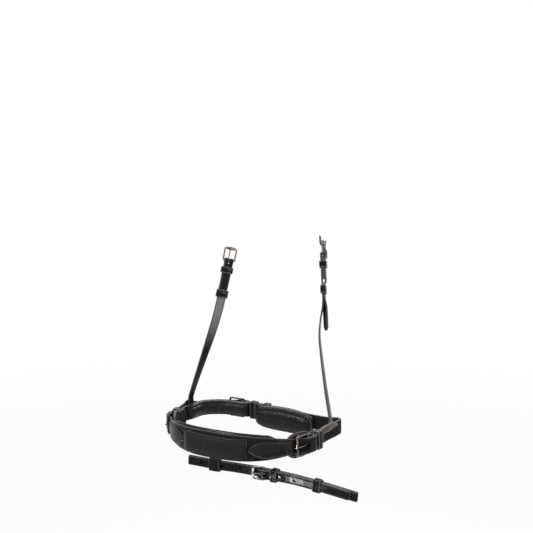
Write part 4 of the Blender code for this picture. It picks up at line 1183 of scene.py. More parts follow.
def buildNosepiece():
    rise = ringShape["strapRise"]
    size = buckleSizes["ring"]
    bar = sideSizes["bar"]

    def edges(s, done, whole):
        half = noseHalfHeight(s) * tipWidth(min(done, whole - done) / (ringShape["strapWidth"] / 2.0))
        return rise - half, rise + half

    nearEnd = billetLine(size, 0.0, bar, 1, sideSizes["billetPast"])
    offEnd = [(-s, n) for s, n in reversed(nearEnd)]
    reach = nearEnd[0][0]
    line = offEnd + runLine(-reach, reach, size["leather"] / 2.0) + nearEnd
    shown = flapLevel(size) + 1.5 * size["leather"] + leatherStock["layerGap"] + noseSizes["billetRowLift"]
    for side in (-1, 1):
        for across in (-1, 1):
            begin = bar + noseSizes["billetRowFrom"]
            stop = bar + sideSizes["billetPast"] - noseSizes["billetRowTo"]
            # the billet rows use the pale thread, which is painted glints
            stitchAlong("ring", routeSeam(ring, side * begin, side * stop, shown,
                                          rise + across * noseSizes["billetRowOut"],
                                          step=noseSizes["billetRowStep"]), "pale")
    strap = makeStrap("nosepieceStrapLeather", [(ring, line)], size["leather"], edges, bridleLeather,
                      lambda s, n, side: innerNap if side < 0 else 0.0)
    cutHoles(strap, [prongHole(size, ring, 0.0, bar, 1, rise), prongHole(size, ring, 0.0, -bar, -1, rise)])
    finishPiece(strap, "ring", "leather", "nosepiece_strap")

    def linerEdges(s):
        left = smooth((noseSizes["linerReach"] - abs(s)) / noseSizes["linerTaper"])
        half = noseHalfHeight(s)
        lip = noseSizes["linerLip"]
        return (rise - half + lip / 2.0 + noseSizes["linerDrawLow"] * (1.0 - left),
                rise + half + lip * left - noseSizes["linerDrawHigh"] * (1.0 - left))

    gap = leatherStock["layerGap"]
    liner, _ = makeCushion(
        "nosepieceLinerLeather", ring, -noseSizes["linerReach"], noseSizes["linerReach"], -gap,
        -noseSizes["linerDepth"], linerEdges, softLeather, linerLook)
    finishPiece(liner, "ring", "soft_leather", "nosepiece_liner")

    outer = size["leather"] + gap
    half = noseSizes["padHeight"] / 2.0
    middle = rise - noseSizes["padDrop"]
    pad, padSurface = makeCushion(
        "nosePadLeather", ring, -noseSizes["padReach"], noseSizes["padReach"], outer,
        noseSizes["padDepth"], lambda s: (middle - half, middle + half), softLeather, nosePadLook)
    finishPiece(pad, "ring", "soft_leather", "nose_pad")
    reach = noseSizes["padReach"] - noseSizes["padSeamEnd"]
    lift = leatherStock["threadLift"]
    stitchAlong("ring", [padSurface(-reach + 2.0 * reach * k / 60.0, middle + half - noseSizes["padSeamIn"],
                                    lift) for k in range(61)])

    radius = noseSizes["weltRadius"]
    for side in (-1, 1):
        s = side * (noseSizes["padReach"] - noseSizes["padWeltIn"])
        for high, low in noseSizes["padWelts"]:
            weltAlong([padSurface(s, middle + half - high - (low - high) * k / 8.0,
                                  noseSizes["padWeltSink"])[0] for k in range(9)], radius)

    for prefix, side in (("near", 1), ("off", -1)):
        def leafEdges(s):
            share = (abs(s) - noseSizes["leafStart"]) / (noseSizes["leafEnd"] - noseSizes["leafStart"])
            swell = noseSizes["leafEndHeight"] * share + noseSizes["leafHeight"] * (1.0 - share)
            grown = math.sin(math.pi / 2.0 * min(1.0, max(0.0, share) / noseSizes["leafGrownShare"]))
            least = noseSizes["leafTipShare"]
            halfLeaf = swell / 2.0 * (least + (1.0 - least) * grown)
            return rise + noseSizes["leafLift"] - halfLeaf, rise + noseSizes["leafLift"] + halfLeaf
        leaf, leafSurface = makeCushion(
            prefix + "LeafLeather", ring, side * noseSizes["leafStart"], side * noseSizes["leafEnd"], outer,
            noseSizes["leafDepth"], leafEdges, pebbleLeather, leafLook)
        finishPiece(leaf, "ring", "leather", prefix + "_leaf_overlay")
        start = noseSizes["leafStart"] + noseSizes["leafRowFrom"]
        end = noseSizes["leafEnd"] - noseSizes["leafRowTo"]
        inset = noseSizes["leafRowIn"]
        for edge in (0, 1):
            line = []
            for k in range(41):
                s = side * (start + (end - start) * k / 40.0)
                low, high = leafEdges(s)
                line.append(leafSurface(s, high - inset if edge else low + inset, lift))
            stitchAlong("ring", line)
        long = noseSizes["leafEnd"] - noseSizes["leafStart"]
        weltLine = []
        for k in range(41):
            along = noseSizes["leafWeltFrom"] + long * noseSizes["leafWeltShare"] * k / 40.0
            s = side * (noseSizes["leafStart"] + along)
            weltLine.append(leafSurface(s, leafEdges(s)[0] + noseSizes["leafWeltIn"], 0.0)[0])
        weltAlong(weltLine, radius)
        inset = noseSizes["leafEndRowIn"]
        for back in noseSizes["leafEndRows"]:
            s = side * (noseSizes["leafEnd"] - back)
            low, high = leafEdges(s)
            stitchAlong("ring", [leafSurface(s, low + inset + (high - low - 2.0 * inset) * k / 12.0, lift)
                                 for k in range(13)])


# Side straps with their buckles, guards and keepers, and the chin's buckle, pad and roll
sideSizes = {
    "bar": 0.1240, "guardStart": 0.0915, "guardLength": 0.060, "guardHeight": 0.0325, "guardDrop": 0.0012,
    "guardDepth": 0.0026, "flap": 0.026, "keeperStart": 0.0105, "keeperLength": 0.0085,
    "keeperWall": 0.0013, "billetPast": 0.0245, "napFrom": 0.004, "guardRowEnd": 0.003, "guardRowIn": 0.0024,
}
chinSizes = {
    "bar": 0.2515, "padStart": 0.2495, "padLength": 0.0860, "padHeight": 0.0325, "padEndHeight": 0.0155,
    "padDrop": 0.0037, "padDepth": 0.0098, "rollStart": 0.158, "rollEnd": 0.2605, "rollDepth": 0.0088,
    "rollHeight": 0.0198, "rollRise": 0.0018, "keeperStart": 0.0105, "runnerStart": 0.030,
    "billetPast": 0.048, "holePitch": 0.0180, "holeCount": 2, "padRowEnd": 0.004, "padRowHigh": 0.0062,
    "padRowLow": 0.0030, "bindingIn": 0.0012, "bindingTurn": 0.0075, "bindingDrop": 0.0062,
    "bindingStraight": (0.0074, 0.0100), "bindingRadius": 0.0009, "rollRowEnd": 0.003, "rollRowIn": 0.0022,
    "padFullness": 2.6,
}
guardShape = {
    "frontDrawn": 0.62, "frontShare": 0.30, "frontPower": 3.2, "waistDrawn": 0.25, "waistFrom": 0.42,
    "waistShare": 0.25, "tailDrawn": 0.34, "tailFrom": 0.78, "tailShare": 0.22, "tailPower": 3.0,
}
chinPadLook = {
    "pressure": 4.0, "spare": 0.03, "cap": 0.0012, "steps": 110, "around": 34, "endShare": 0.12,
    "wrinkle": 0.00030, "wrinkleAlong": 170.0, "wrinkleAcross": 30.0, "corner": 0.013, "endStretch": 2.2,
    "seams": [("hood", 0.0052, 0.0008, 0.0019), ("low", 0.0030, 0.0006, 0.0012)],
}
rollLook = {
    "pressure": 4.0, "spare": 0.035, "cap": 0.0012, "steps": 190, "around": 26, "endShare": 0.08,
    "wrinkle": 0.00045, "wrinkleAlong": 210.0, "wrinkleAcross": 45.0,
    "seams": [("low", 0.0022, 0.0005, 0.0011), ("high", 0.0026, 0.0006, 0.0010)],
}


def buildSide(prefix, side, lineEnd, widthEnd, holes):
    rise = ringShape["strapRise"]
    size = buckleSizes["ring"]
    bar = side * sideSizes["bar"]
    gap = leatherStock["layerGap"]
    line = chapeLine(size, 0.0, bar, side, sideSizes["flap"]) + lineEnd
    level = size["leather"] * 0.6

    def fleshAt(s, n, face):
        away = abs(abs(s) - sideSizes["bar"])
        inside = face < 0 if side > 0 else face > 0
        if not inside:
            keeperEnd = sideSizes["keeperStart"] + sideSizes["keeperLength"]
            return innerNap if side > 0 and away > keeperEnd else 0.0
        shows = n < level and abs(s) > sideSizes["bar"]
        return innerNap * smooth((away - sideSizes["napFrom"]) / sideSizes["napFrom"]) if shows else 0.0

    strap = makeStrap(prefix + "SideStrapLeather", [(ring, line)], size["leather"], widthEnd, bridleLeather,
                      fleshAt)
    cutHoles(strap, [slotHole(size, ring, 0.0, bar, side, rise)] + holes)
    finishPiece(strap, "ring", "leather", prefix + "_side_strap")
    makeBuckle(prefix + "Side", size, ring, 0.0, bar, side, rise)
    top = flapLevel(size) + 1.5 * size["leather"] + 2.0 * gap
    keeper = makeKeeper(prefix + "SideKeeperLeather", ring, bar + side * sideSizes["keeperStart"],
                        side * sideSizes["keeperLength"],
                        ringShape["strapWidth"] / 2.0 + leatherStock["edgeGap"], -gap, top,
                        sideSizes["keeperWall"], rise, keeperLitEndsLeather)
    finishPiece(keeper, "ring", "leather", prefix + "_side_keeper")

    guardLevel = -(2.0 * gap + sideSizes["keeperWall"] + sideSizes["guardDepth"] / 2.0)
    start, end = side * sideSizes["guardStart"], side * (sideSizes["guardStart"] + sideSizes["guardLength"])
    middle = rise - sideSizes["guardDrop"]

    def guardHalf(share):
        g = guardShape
        front = 1.0 - g["frontDrawn"] * max(0.0, 1.0 - share / g["frontShare"]) ** g["frontPower"]
        waist = g["waistDrawn"] * smooth((share - g["waistFrom"]) / g["waistShare"])
        tail = g["tailDrawn"] * max(0.0, (share - g["tailFrom"]) / g["tailShare"]) ** g["tailPower"]
        return sideSizes["guardHeight"] / 2.0 * front * (1.0 - waist - tail)

    def guardEdges(s, done, whole):
        return middle - guardHalf(done / whole), middle + guardHalf(done / whole)

    guardLine = [(start, guardLevel)] + runLine(start, end, guardLevel) + [(end, guardLevel)]
    guard = makeStrap(prefix + "BuckleGuardLeather", [(ring, guardLine)], sideSizes["guardDepth"], guardEdges,
                      bridleLeather, lambda s, n, face: innerNap if (face < 0) == (side > 0) else 0.0)
    finishPiece(guard, "ring", "leather", prefix + "_buckle_guard")
    face = guardLevel + sideSizes["guardDepth"] / 2.0 + leatherStock["threadLift"]
    rowEnd = side * sideSizes["guardRowEnd"]
    # the guard rows use the pale thread, which is painted glints
    for edge in (-1, 1):
        stitchAlong("ring", routeSeam(
            ring, start + rowEnd, end - rowEnd, face, lambda s: middle + edge * (
                guardHalf((s - start) / (end - start)) - sideSizes["guardRowIn"])), "pale")


def buildRingStraps():
    rise = ringShape["strapRise"]
    size = buckleSizes["ring"]
    gap = leatherStock["layerGap"]
    bar = sideSizes["bar"]
    chinBar = ring.length - chinSizes["bar"]
    half = ringShape["strapWidth"] / 2.0
    level = size["leather"] / 2.0
    farChape = list(reversed(chapeLine(size, 0.0, chinBar, -1, sideSizes["flap"])))
    nearRun = runLine(bar, chinBar, level) + farChape
    buildSide("near", 1, nearRun, levelEdges(half, rise), [slotHole(size, ring, 0.0, chinBar, -1, rise)])

    billet = [(-s, n) for s, n in billetLine(size, 0.0, chinSizes["bar"], 1, chinSizes["billetPast"])]
    offRun = runLine(-bar, billet[0][0], level) + billet
    holes = [prongHole(size, ring, 0.0, -chinSizes["bar"], -1, rise)]
    for index in range(chinSizes["holeCount"]):
        place = -chinSizes["bar"] + crossing(size) - (index + 1) * chinSizes["holePitch"]
        lift = flapLevel(size) + size["leather"] + gap
        holes.append(roundHole(ring, place, rise, lift - level, lift + level))
    buildSide("off", -1, offRun, pointed(half, rise, half), holes)

    makeBuckle("chin", size, ring, 0.0, chinBar, -1, rise)
    top = flapLevel(size) + 1.5 * size["leather"] + 2.0 * gap
    for name, body, start in (("chinKeeperLeather", "ring", chinSizes["keeperStart"]),
                              ("chinRunnerLeather", "chin_runner", chinSizes["runnerStart"])):
        long = sideSizes["keeperLength"]
        keeper = makeKeeper(name, ring, chinBar - start - long, long, half + leatherStock["edgeGap"], -gap,
                            top, sideSizes["keeperWall"], rise, keeperLitEndsLeather)
        finishPiece(keeper, body, "leather", "chin_keeper" if body == "ring" else "chin_runner")

    def padEdges(s):
        share = abs(2.0 * (s - chinSizes["padStart"]) / chinSizes["padLength"] - 1.0)
        tall, low = chinSizes["padHeight"], chinSizes["padEndHeight"]
        halfPad = (low + (tall - low) * math.sqrt(max(0.0, 1.0 - share ** chinSizes["padFullness"]))) / 2.0
        middle = rise - chinSizes["padDrop"]
        return middle - halfPad, middle + halfPad

    back = -(2.0 * gap + sideSizes["keeperWall"])
    pad, padSurface = makeCushion("chinPadLeather", ring, chinSizes["padStart"],
                                  chinSizes["padStart"] + chinSizes["padLength"], back,
                                  -chinSizes["padDepth"], padEdges, softLeather, chinPadLook)
    finishPiece(pad, "ring", "soft_leather", "chin_pad")
    lift = leatherStock["threadLift"]
    begin = chinSizes["padStart"] + chinSizes["padRowEnd"]
    reach = chinSizes["padLength"] - 2.0 * chinSizes["padRowEnd"]
    for edge, inset in ((1, chinSizes["padRowHigh"]), (0, chinSizes["padRowLow"])):
        line = []
        for k in range(61):
            s = begin + reach * k / 60.0
            low, high = padEdges(s)
            line.append(padSurface(s, high - inset if edge else low + inset, lift))
        stitchAlong("ring", line)

    # the binding turns the pad's upper corner and runs down its end
    inset, across, drop = chinSizes["bindingIn"], chinSizes["bindingTurn"], chinSizes["bindingDrop"]
    binding = []
    for k in range(31):
        turn = math.radians(90.0 * k / 30.0)
        s = chinSizes["padStart"] + inset + across * (1.0 - math.sin(turn))
        high = padEdges(s)[1]
        binding.append(padSurface(s, high - inset - drop * (1.0 - math.cos(turn)), 0.0)[0])
    s = chinSizes["padStart"] + inset
    low, high = padEdges(s)
    down, trim = chinSizes["bindingStraight"]
    for k in range(1, 13):
        binding.append(padSurface(s, high - down - (high - low - trim) * k / 12.0, 0.0)[0])
    weltAlong(binding, chinSizes["bindingRadius"])

    low, high = (chinSizes["rollRise"] + k * chinSizes["rollHeight"] / 2.0 for k in (-1, 1))
    roll, rollSurface = makeCushion("chinRollLeather", ring, -chinSizes["rollStart"], -chinSizes["rollEnd"],
                                    -gap, -chinSizes["rollDepth"], lambda s: (low, high), softLeather,
                                    rollLook)
    finishPiece(roll, "ring", "soft_leather", "chin_roll")
    begin = -chinSizes["rollStart"] - chinSizes["rollRowEnd"]
    reach = -(chinSizes["rollEnd"] - chinSizes["rollStart"]) + 2.0 * chinSizes["rollRowEnd"]
    stitchAlong("ring", [rollSurface(begin + reach * k / 70.0, low + chinSizes["rollRowIn"], lift)
                         for k in range(71)])


# Cheek straps. Link and strap are one length of leather that bends at the fold.
cheekSizes = {
    "width": 0.0122, "headX": 0.067, "headY": 0.083, "footZ": 0.0215, "flap": 0.032, "offFlap": 0.0390,
    "keeperStart": 0.0087, "keeperLength": 0.0085, "runnerStart": 0.040, "runnerLength": 0.0105,
    "hingeGap": 0.0008, "foldReach": 0.007, "linkLow": 0.0030, "linkPull": 0.006, "tabPast": 0.0125,
    "tabLow": 0.0074, "tabHigh": 0.0106, "tabHalf": 0.0049,
    "tailTwistStart": 0.0525, "tailTwist": 32.0, "tailTurnOver": 0.0185, "tailLength": 0.098,
    "tailSpare": 1.1, "tailTop": 0.006, "tailHolePitch": 0.0200, "tailHoles": 3, "tailNap": 0.12,
    "tabGap": 0.0003, "tabStepBack": 0.018, "tabStepLong": 0.010, "tabRows": (0.16, 0.5, 0.84),
    "settleGap": 0.0015, "settleLong": 0.006, "rowIn": 0.0022, "rowFoot": 0.001, "rowHead": 0.018,
    "rowLift": 0.00005, "nearNapAndSheen": 0.10, "nearNapBelow": 0.012, "nearNapLong": 0.006,
    "offNap": 0.85, "offNapFrom": 0.055, "offNapLong": 0.060, "turnShare": 0.7,
    "footSteps": (260, 420), "footStepsPerMetre": 2000.0,
    "tabClimbShare": 0.75, "tabCut": 0.62, "tabCutFrom": 0.62, "tabCutShare": 0.38,
    "tabCorner": 0.0012, "tabCornerFrom": 0.75, "tabCornerShare": 0.25,
    "off": {"foot": (0.1003, 0.0375), "footTurn": 4.0, "headZ": 0.2000, "headTurn": 46.0, "bow": 0.005,
            "shares": (0.0, 0.15, 0.35, 0.55, 0.75, 0.9, 0.95, 0.8, 0.53, 0.27, 0.0)},
    "near": {"foot": (0.1071, 0.028), "footTurn": 12.0, "headZ": 0.2190, "headTurn": 20.0, "bow": 0.0085,
             "shares": (0.0, 0.3, 0.56, 0.76, 0.93, 1.0, 0.66, 0.12, 0.05, 0.02, 0.0)},
}


def cheekRoute(side, hang):
    foot = Vector((side * hang["foot"][0], hang["foot"][1], cheekSizes["footZ"]))
    head = Vector((side * cheekSizes["headX"], cheekSizes["headY"], hang["headZ"]))
    inward = Vector((-side, 0.0, 0.0))
    count = len(hang["shares"]) - 1
    fine = 16
    corners = [foot.lerp(head, index / count) + inward * hang["bow"] * share
               for index, share in enumerate(hang["shares"])]
    corners.append(2.0 * corners[-1] - corners[-2])
    points = curveThrough(corners, False, fine)
    widths = []
    for index in range(len(points)):
        share = index / (count * fine)
        done = smooth(share / cheekSizes["turnShare"])
        turn = math.radians(hang["footTurn"] + (hang["headTurn"] - hang["footTurn"]) * done)
        widths.append(-side * Vector((-side * math.sin(turn), math.cos(turn), 0.0)))
    route = StrapRoute(points, widths)
    return route, route.marks[count * fine]


def bezier(a, b, c, d, t):
    low = a.lerp(b, t).lerp(b.lerp(c, t), t)
    high = b.lerp(c, t).lerp(c.lerp(d, t), t)
    return low.lerp(high, t)


def footPlace(side, foot):
    flat = Vector((foot.x, foot.y, 0.0))
    near = []
    for step in range(*cheekSizes["footSteps"]):
        s = step / cheekSizes["footStepsPerMetre"]
        near.append(((ring.sample(side * s)[0] * Vector((1.0, 1.0, 0.0)) - flat).length, s))
    return min(near)[1]


def linkRoute(side, foot, rise, footWidth):
    lowPoint, tangent, up, outward = ring.frame(side * footPlace(side, foot))
    level = leatherStock["ringThick"] + leatherStock["layerGap"]
    begin = lowPoint + outward * level + up * (ringShape["strapRise"] + cheekSizes["linkLow"])
    pull = cheekSizes["linkPull"]
    points, widths = [], []
    for step in range(49):
        t = step / 48.0
        points.append(bezier(begin, begin + up * pull, foot - rise * pull, foot, t))
        widths.append((-tangent).lerp(footWidth, smooth(t)))
    return StrapRoute(points, widths)


# The tab: a short length along the top of the side strap that holds the foot of the cheek strap
def buildTab(prefix, side, foot):
    rise = ringShape["strapRise"]
    at = footPlace(side, foot)
    begin = sideSizes["bar"] + sideSizes["keeperStart"] + sideSizes["keeperLength"] + cheekSizes["tabGap"]
    last = at + cheekSizes["tabPast"]
    thick = buckleSizes["cheek"]["leather"]
    low = leatherStock["ringThick"] + leatherStock["layerGap"] + thick / 2.0

    def levelAt(s):
        share = (s - at + cheekSizes["tabStepBack"]) / cheekSizes["tabStepLong"]
        return low + (thick + leatherStock["layerGap"]) * smooth(share)

    def edges(s, done, whole):
        share = (abs(s) - begin) / (last - begin)
        climb = cheekSizes["tabHigh"] - cheekSizes["tabLow"]
        climb *= smooth(share / cheekSizes["tabClimbShare"])
        middle = rise + cheekSizes["tabLow"] + climb
        half = cheekSizes["tabHalf"]
        cut = smooth((share - cheekSizes["tabCutFrom"]) / cheekSizes["tabCutShare"])
        corner = smooth((share - cheekSizes["tabCornerFrom"]) / cheekSizes["tabCornerShare"])
        return (middle - half + cheekSizes["tabCorner"] * corner,
                middle + half - 2.0 * half * cheekSizes["tabCut"] * cut)

    count = round((last - begin) / leatherStock["station"])
    places = [begin + (last - begin) * k / count for k in range(count + 1)]
    # the near tab is painted lighter as painted light; the off tab keeps the black leather
    tab = makeStrap(prefix + "CheekTabLeather", [(ring, [(side * s, levelAt(s)) for s in places])], thick,
                    edges, nearTabLitLeather if side > 0 else bridleLeather)
    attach(tab, "ring")
    lift = thick / 2.0 + leatherStock["threadLift"]
    for share in cheekSizes["tabRows"]:
        line = []
        for s in places[2:-2]:
            under, over = edges(s, 0.0, 0.0)
            across = under + (over - under) * share
            line.append((ring.place(side * s, levelAt(s) + lift, across), ring.frame(side * s)[3]))
        # the near tab's rows are pale, as painted light; the off tab's rows, in shade, stay dark
        stitchAlong("ring", line, "pale" if side > 0 else "dark")


def buildCheek(prefix, side):
    hang = cheekSizes[prefix]
    size = buckleSizes["cheek"]
    route, head = cheekRoute(side, hang)
    foot, rise, width, normal = route.frame(0.0)
    level = size["leather"] / 2.0
    half = cheekSizes["width"] / 2.0
    start = cheekSizes["hingeGap"] / 2.0
    link = linkRoute(side, foot, rise, width)
    linkRun = [(link.length - start, level)] + runLine(link.length - start, 0.0, level) + [(0.0, level)]
    flapEnd = head - (cheekSizes["flap"] if prefix == "near" else cheekSizes["offFlap"])
    if prefix == "near":
        up = chapeLine(size, 0.0, head, -1, cheekSizes["flap"])
        up += runLine(head, start, level) + [(start, level)]
    else:
        # this side turns its back to the camera: the flap lies inside, on the rough face of the strap
        up = [(flapEnd, level)] + runLine(flapEnd, head, level)
        for step in range(25):
            turn = -math.pi / 2.0 + math.pi * step / 24.0
            up.append((head + foldRadius(size) * math.cos(turn),
                       barHeight(size) + foldRadius(size) * math.sin(turn)))
        drop = buckleSizes["chapeDrop"] * foldTop(size)
        top, rest = barHeight(size) + foldRadius(size), flapLevel(size)
        up += [(head - drop * k / 14.0, top + (rest - top) * smooth(k / 14.0)) for k in range(1, 14)]
        settle, long = flapEnd - cheekSizes["settleGap"], cheekSizes["settleLong"]
        up += [(head - drop, rest)] + runLine(head - drop, settle, rest)
        up += [(settle - long * k / 12.0, rest + (level - rest) * smooth(k / 12.0)) for k in range(13)]
        up += runLine(settle - long, start, level) + [(start, level)]

    def fleshAt(s, n, face):
        if prefix == "near":
            # near strap: grey nap faded out to both edges, partly the rough face and partly a painted
            # highlight down its middle
            share = (head - cheekSizes["nearNapBelow"] - s) / cheekSizes["nearNapLong"]
            return cheekSizes["nearNapAndSheen"] * smooth(share) if face > 0 and n < level * 1.2 else 0.0
        # off strap: the grey of the rough face fades out towards the foot, so the strap is darker lower down
        share = (s - cheekSizes["offNapFrom"]) / cheekSizes["offNapLong"]
        return cheekSizes["offNap"] * smooth(share) if face > 0 else 0.0

    strap = makeStrap(prefix + "CheekStrapLeather", [(route, up), (link, linkRun)], size["leather"],
                      levelEdges(half), bridleLeather, fleshAt)
    cutHoles(strap, [slotHole(size, route, 0.0, head, -1)])
    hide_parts(prefix + "_cheek_strap", prefix + "_cheek_link")
    hinge = foot + normal * level
    bend = rise * cheekSizes["foldReach"]
    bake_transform(strap, "ring", prefix + "_cheek", start=tuple(hinge - bend), end=tuple(hinge + bend))

    makeBuckle(prefix + "Cheek", size, route, 0.0, head, -1)
    gap = leatherStock["layerGap"]
    top = flapLevel(size) + 1.5 * size["leather"] + 2.0 * gap
    wall = sideSizes["keeperWall"]
    inner = half + leatherStock["edgeGap"]
    keeper = makeKeeper(prefix + "CheekKeeperLeather", route,
                        head - cheekSizes["keeperStart"] - cheekSizes["keeperLength"],
                        cheekSizes["keeperLength"], inner, -gap, top, wall, 0.0, keeperLitEndsLeather)
    finishPiece(keeper, prefix + "_cheek", "leather", prefix + "_cheek_keeper")
    loose = leatherStock["runnerGap"]
    runner = makeKeeper(prefix + "CheekRunnerLeather", route,
                        head - cheekSizes["runnerStart"] - cheekSizes["runnerLength"],
                        cheekSizes["runnerLength"], inner + loose, -gap - loose,
                        2.0 * size["leather"] + 2.0 * gap + loose, wall - loose, 0.0, keeperLitEndsLeather)
    finishPiece(runner, prefix + "_cheek_runner", "leather", prefix + "_cheek_runner")
    first, last = flapEnd + cheekSizes["rowFoot"], head - cheekSizes["rowHead"]
    lift = cheekSizes["rowLift"]
    for edge in (-1, 1):
        across = edge * (half - cheekSizes["rowIn"])
        if prefix == "off":
            stitchAlong("off_cheek", routeSeam(route, first, last, -lift, across, up=-1.0))
        stitchAlong(prefix + "_cheek",
                    routeSeam(route, first, last, size["leather"] * 2.0 + gap + lift, across))
    buildTab(prefix, side, foot)
    return route, head


def buildTail(route, head):
    size = buckleSizes["cheek"]
    level = flapLevel(size)
    top, rise, width, normal = route.frame(head)
    long = cheekSizes["tailLength"]
    lowEnd = top - rise * long * cheekSizes["tailSpare"]
    points = [lowEnd.lerp(top, k / 40.0) for k in range(41)]
    points += [top + rise * long * k / 20.0 for k in range(1, 21)]
    widths = []
    for point in points:
        below = (top - point).dot(rise) - cheekSizes["tailTwistStart"]
        turn = math.radians(cheekSizes["tailTwist"]) * smooth(below / cheekSizes["tailTurnOver"])
        widths.append(width * math.cos(turn) + normal * math.sin(turn))
    tail = StrapRoute(points, widths)
    place = tail.marks[40]
    start = place + size["length"] + rollerRadius(size) + cheekSizes["tailTop"]
    climb = billetLine(size, 0.0, place, -1, long, (cheekSizes["flap"], level))
    line = [(start, size["leather"] / 2.0)] + runLine(start, climb[0][0], size["leather"] / 2.0) + climb
    half = cheekSizes["width"] / 2.0 - leatherStock["layerGap"]
    strap = makeStrap("nearHeadpieceBilletLeather", [(tail, line)], size["leather"],
                      pointed(half, 0.0, cheekSizes["width"] / 2.0), bridleLeather,
                      lambda s, n, face: cheekSizes["tailNap"] if face > 0 else 0.0)
    holes = [prongHole(size, tail, 0.0, place, -1)]
    thick = size["leather"] / 2.0
    for index in range(cheekSizes["tailHoles"]):
        s = place + crossing(size) - (index + 1) * cheekSizes["tailHolePitch"]
        lift = level
        if s > place - cheekSizes["flap"]:
            lift = flapLevel(size) + size["leather"] + leatherStock["layerGap"]
        holes.append(roundHole(tail, s, 0.0, lift - thick, lift + thick))
    cutHoles(strap, holes)
    finishPiece(strap, "near_cheek", "headpiece_leather", "near_headpiece_billet")


# Flash strap: one long strap folded flat, held in a loop under the nosepiece
flashSizes = {
    "width": 0.0118, "left": 0.0385, "right": 0.1910, "y": 0.0730, "droop": 0.040, "bowBack": 0.0050,
    "bowUp": 0.0032, "bar": 0.0682, "foldGap": 0.0011, "flap": 0.026, "pared": 0.014, "paredShare": 0.25,
    "keeperStart": 0.0087, "keeperLength": 0.0085, "runnerStart": 0.0655, "runnerLength": 0.0100,
    "tip": 0.184, "rowFrom": 0.013, "rowTo": 0.005, "rowIn": 0.0020, "rowSink": 0.00008,
    "loopWidth": 0.014, "loopWall": 0.0018, "loopPlace": -0.0015, "neckHeight": 0.0012,
    "neckDepth": 0.0016, "neckGap": 0.0004, "neckY": 0.0768, "neckShare": 0.9,
    "neckSquare": (0.3, 0.5), "neckRim": 0.5,
    "holes": (-0.0190, 0.0080, 0.0330, 0.0885, 0.1090),
}


def neckTop():
    return ringShape["strapRise"] - noseSizes["height"] / 2.0 - flashSizes["neckGap"]


def flashRoute():
    f = flashSizes
    middle = neckTop() - f["neckHeight"] - f["loopWall"] - leatherStock["edgeGap"] - f["width"] / 2.0
    whole = f["left"] + f["right"]
    points = []
    for step in range(97):
        share = step / 96.0
        x = whole * share - f["left"]
        points.append(Vector((x, f["bowBack"] * math.sin(math.pi * share) - f["y"],
                              middle - f["droop"] * x
                              + f["bowUp"] * math.sin(math.pi * max(0.0, x / f["right"])))))
    return StrapRoute(points, [Vector((0.0, 0.0, 1.0))] * 97)


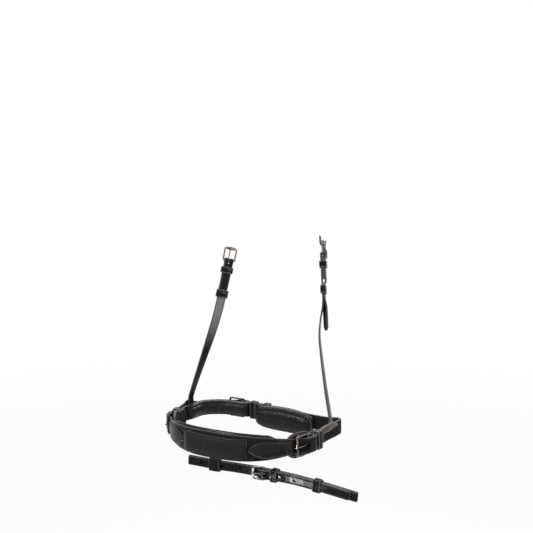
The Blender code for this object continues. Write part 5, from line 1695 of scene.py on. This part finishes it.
def buildFlash():
    f = flashSizes
    size = buckleSizes["flash"]
    route = flashRoute()
    thick = size["leather"]
    gap = leatherStock["layerGap"]
    zero = f["left"] * route.length / (f["left"] + f["right"])
    base = thick + f["foldGap"]
    level, turnRadius = thick / 2.0, base / 2.0
    bar = zero + f["bar"]
    outer = turnRadius + level
    right = route.length - outer

    def paredAt(left):
        return f["paredShare"] + (1.0 - f["paredShare"]) * smooth(left / f["pared"])

    flapEnd = bar + f["flap"]
    line = [(s, n - level * (1.0 - paredAt(flapEnd - s)) if s > bar + f["flap"] - f["pared"] else n)
            for s, n in chapeLine(size, base, bar, 1, f["flap"])]
    line += runLine(bar, right, base + level)
    for step in range(25):
        turn = math.pi / 2.0 - math.pi * step / 24.0
        line.append((right + turnRadius * math.cos(turn), outer + turnRadius * math.sin(turn)))
    line += runLine(right, outer, level)
    for step in range(25):
        turn = -math.pi / 2.0 - math.pi * step / 24.0
        line.append((outer + turnRadius * math.cos(turn), outer + turnRadius * math.sin(turn)))
    rest = base + flapLevel(size)
    climb = []
    for s, n in billetLine(size, base, bar, 1, zero + f["tip"] - bar, (f["flap"], flapLevel(size))):
        if s > flapEnd - f["pared"]:
            n = rest + (n - rest) * (1.0 - thick * (1.0 - paredAt(flapEnd - s)) / (thick + gap))
        climb.append((s, n))
    line += runLine(outer, climb[0][0], base + level) + climb
    strap = makeStrap("flashStrapLeather", [(route, line)], thick,
                      pointed(f["width"] / 2.0, 0.0, f["width"] / 3.0), bridleLeather,
                      thinAt=paredAt)
    holes = [prongHole(size, route, base, bar, 1)]
    for place in f["holes"]:
        lift = 0.0
        if place > f["bar"]:
            lift = flapLevel(size) - level + (thick + gap if place < f["bar"] + f["flap"] else 0.0)
        holes.append(roundHole(route, zero + place, 0.0, base + lift, base + lift + thick))
    cutHoles(strap, holes)
    cutHoles(strap, [slotHole(size, route, base, bar, 1)])
    finishPiece(strap, "flash", "leather", "flash_strap")
    makeBuckle("flash", size, route, base, bar, 1)

    half = f["width"] / 2.0 + leatherStock["edgeGap"]
    wall = sideSizes["keeperWall"]
    full = base + flapLevel(size) + 1.5 * thick + 2.0 * gap
    keeper = makeKeeper("flashKeeperLeather", route, bar + f["keeperStart"], f["keeperLength"], half, -gap,
                        full, wall, 0.0, keeperLitEndsLeather)
    finishPiece(keeper, "flash", "leather", "flash_keeper")
    loose = leatherStock["runnerGap"]
    runner = makeKeeper("flashRunnerLeather", route, bar + f["runnerStart"], f["runnerLength"],
                        half + loose, -gap - loose, base + 2.0 * thick + 2.0 * gap + loose, wall - loose, 0.0,
                        keeperLitEndsLeather)
    finishPiece(runner, "flash_runner", "leather", "flash_runner")

    top = base + thick + gap
    place = zero + f["loopPlace"]
    loop = makeKeeper("flashLoopLeather", route, place - f["loopWidth"] / 2.0, f["loopWidth"], half, -gap,
                      top, f["loopWall"], 0.0, bridleLeather)
    centre = route.place(place, top / 2.0, half)
    halfLong = f["loopWidth"] / 2.0 * f["neckShare"]
    squareX, squareY = f["neckSquare"]
    data = bmesh.new()
    data.from_mesh(loop.data)
    rimLayer = data.verts.layers.float["rim"]
    rows = []
    for z in (centre.z + f["loopWall"] / 2.0, (centre.z + neckTop()) / 2.0, neckTop()):
        row = []
        for k in range(24):
            turn = 2.0 * math.pi * k / 24.0
            x = math.copysign(abs(math.cos(turn)) ** squareX, math.cos(turn))
            y = math.copysign(abs(math.sin(turn)) ** squareY, math.sin(turn))
            vertex = data.verts.new((centre.x + halfLong * x, -f["neckY"] + f["neckDepth"] / 2.0 * y, z))
            # the neck takes half of the rim's grey, partly a painted highlight
            vertex[rimLayer] = f["neckRim"]
            row.append(vertex)
        rows.append(row)
    bridgeRows(data, rows)
    bmesh.ops.recalc_face_normals(data, faces=data.faces)
    data.to_mesh(loop.data)
    data.free()
    loop.data.shade_smooth()
    finishPiece(loop, "flash_loop", "leather", "flash_loop")

    for edge in (-1, 1):
        across = edge * (f["width"] / 2.0 - f["rowIn"])
        stitchAlong("flash", routeSeam(route, bar + f["runnerStart"] + f["rowFrom"],
                                       zero + f["tip"] - f["rowTo"],
                                       base + flapLevel(size) + level - f["rowSink"], across))


def buildWelts():
    # the welts are pale binding leather: partly real binding, partly a painted highlight along rounded edges
    piece = linesObject("edgeWeltLeather", weltLines, "wireRadius", "FLOAT")
    grow(piece, welts, {"Sides": 10}, bindingAndHighlightLeather)
    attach(piece, "ring")


threadSizes = {
    "dark": {"Stitch Pitch": 0.0030, "Stitch Length": 0.0021, "Thread Width": 0.00062,
             "Thread Height": 0.00050, "Seed": 7},
    "pale": {"Stitch Pitch": 0.0028, "Stitch Length": 0.0023, "Thread Width": 0.00085,
             "Thread Height": 0.00070, "Seed": 5},
}


def buildStitches():
    for (body, tone), lines in stitchLines.items():
        name = body.replace("_", "") + tone.title() + "Stitches"
        piece = linesObject(name, lines, "stitchUp", "FLOAT_VECTOR")
        grow(piece, stitches[tone], threadSizes[tone], threads[tone])
        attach(piece, body)


buildNosepiece()
print("noseband: nosepiece, lining, pad and leaves")
buildRingStraps()
print("noseband: side straps, guards, chin pad and roll")
buildCheek("off", -1)
nearRoute, nearHead = buildCheek("near", 1)
buildTail(nearRoute, nearHead)
print("noseband: cheek straps and headpiece billet")
buildFlash()
print("noseband: flash strap and loop")
buildWelts()
buildStitches()
print("noseband: welts and stitches")
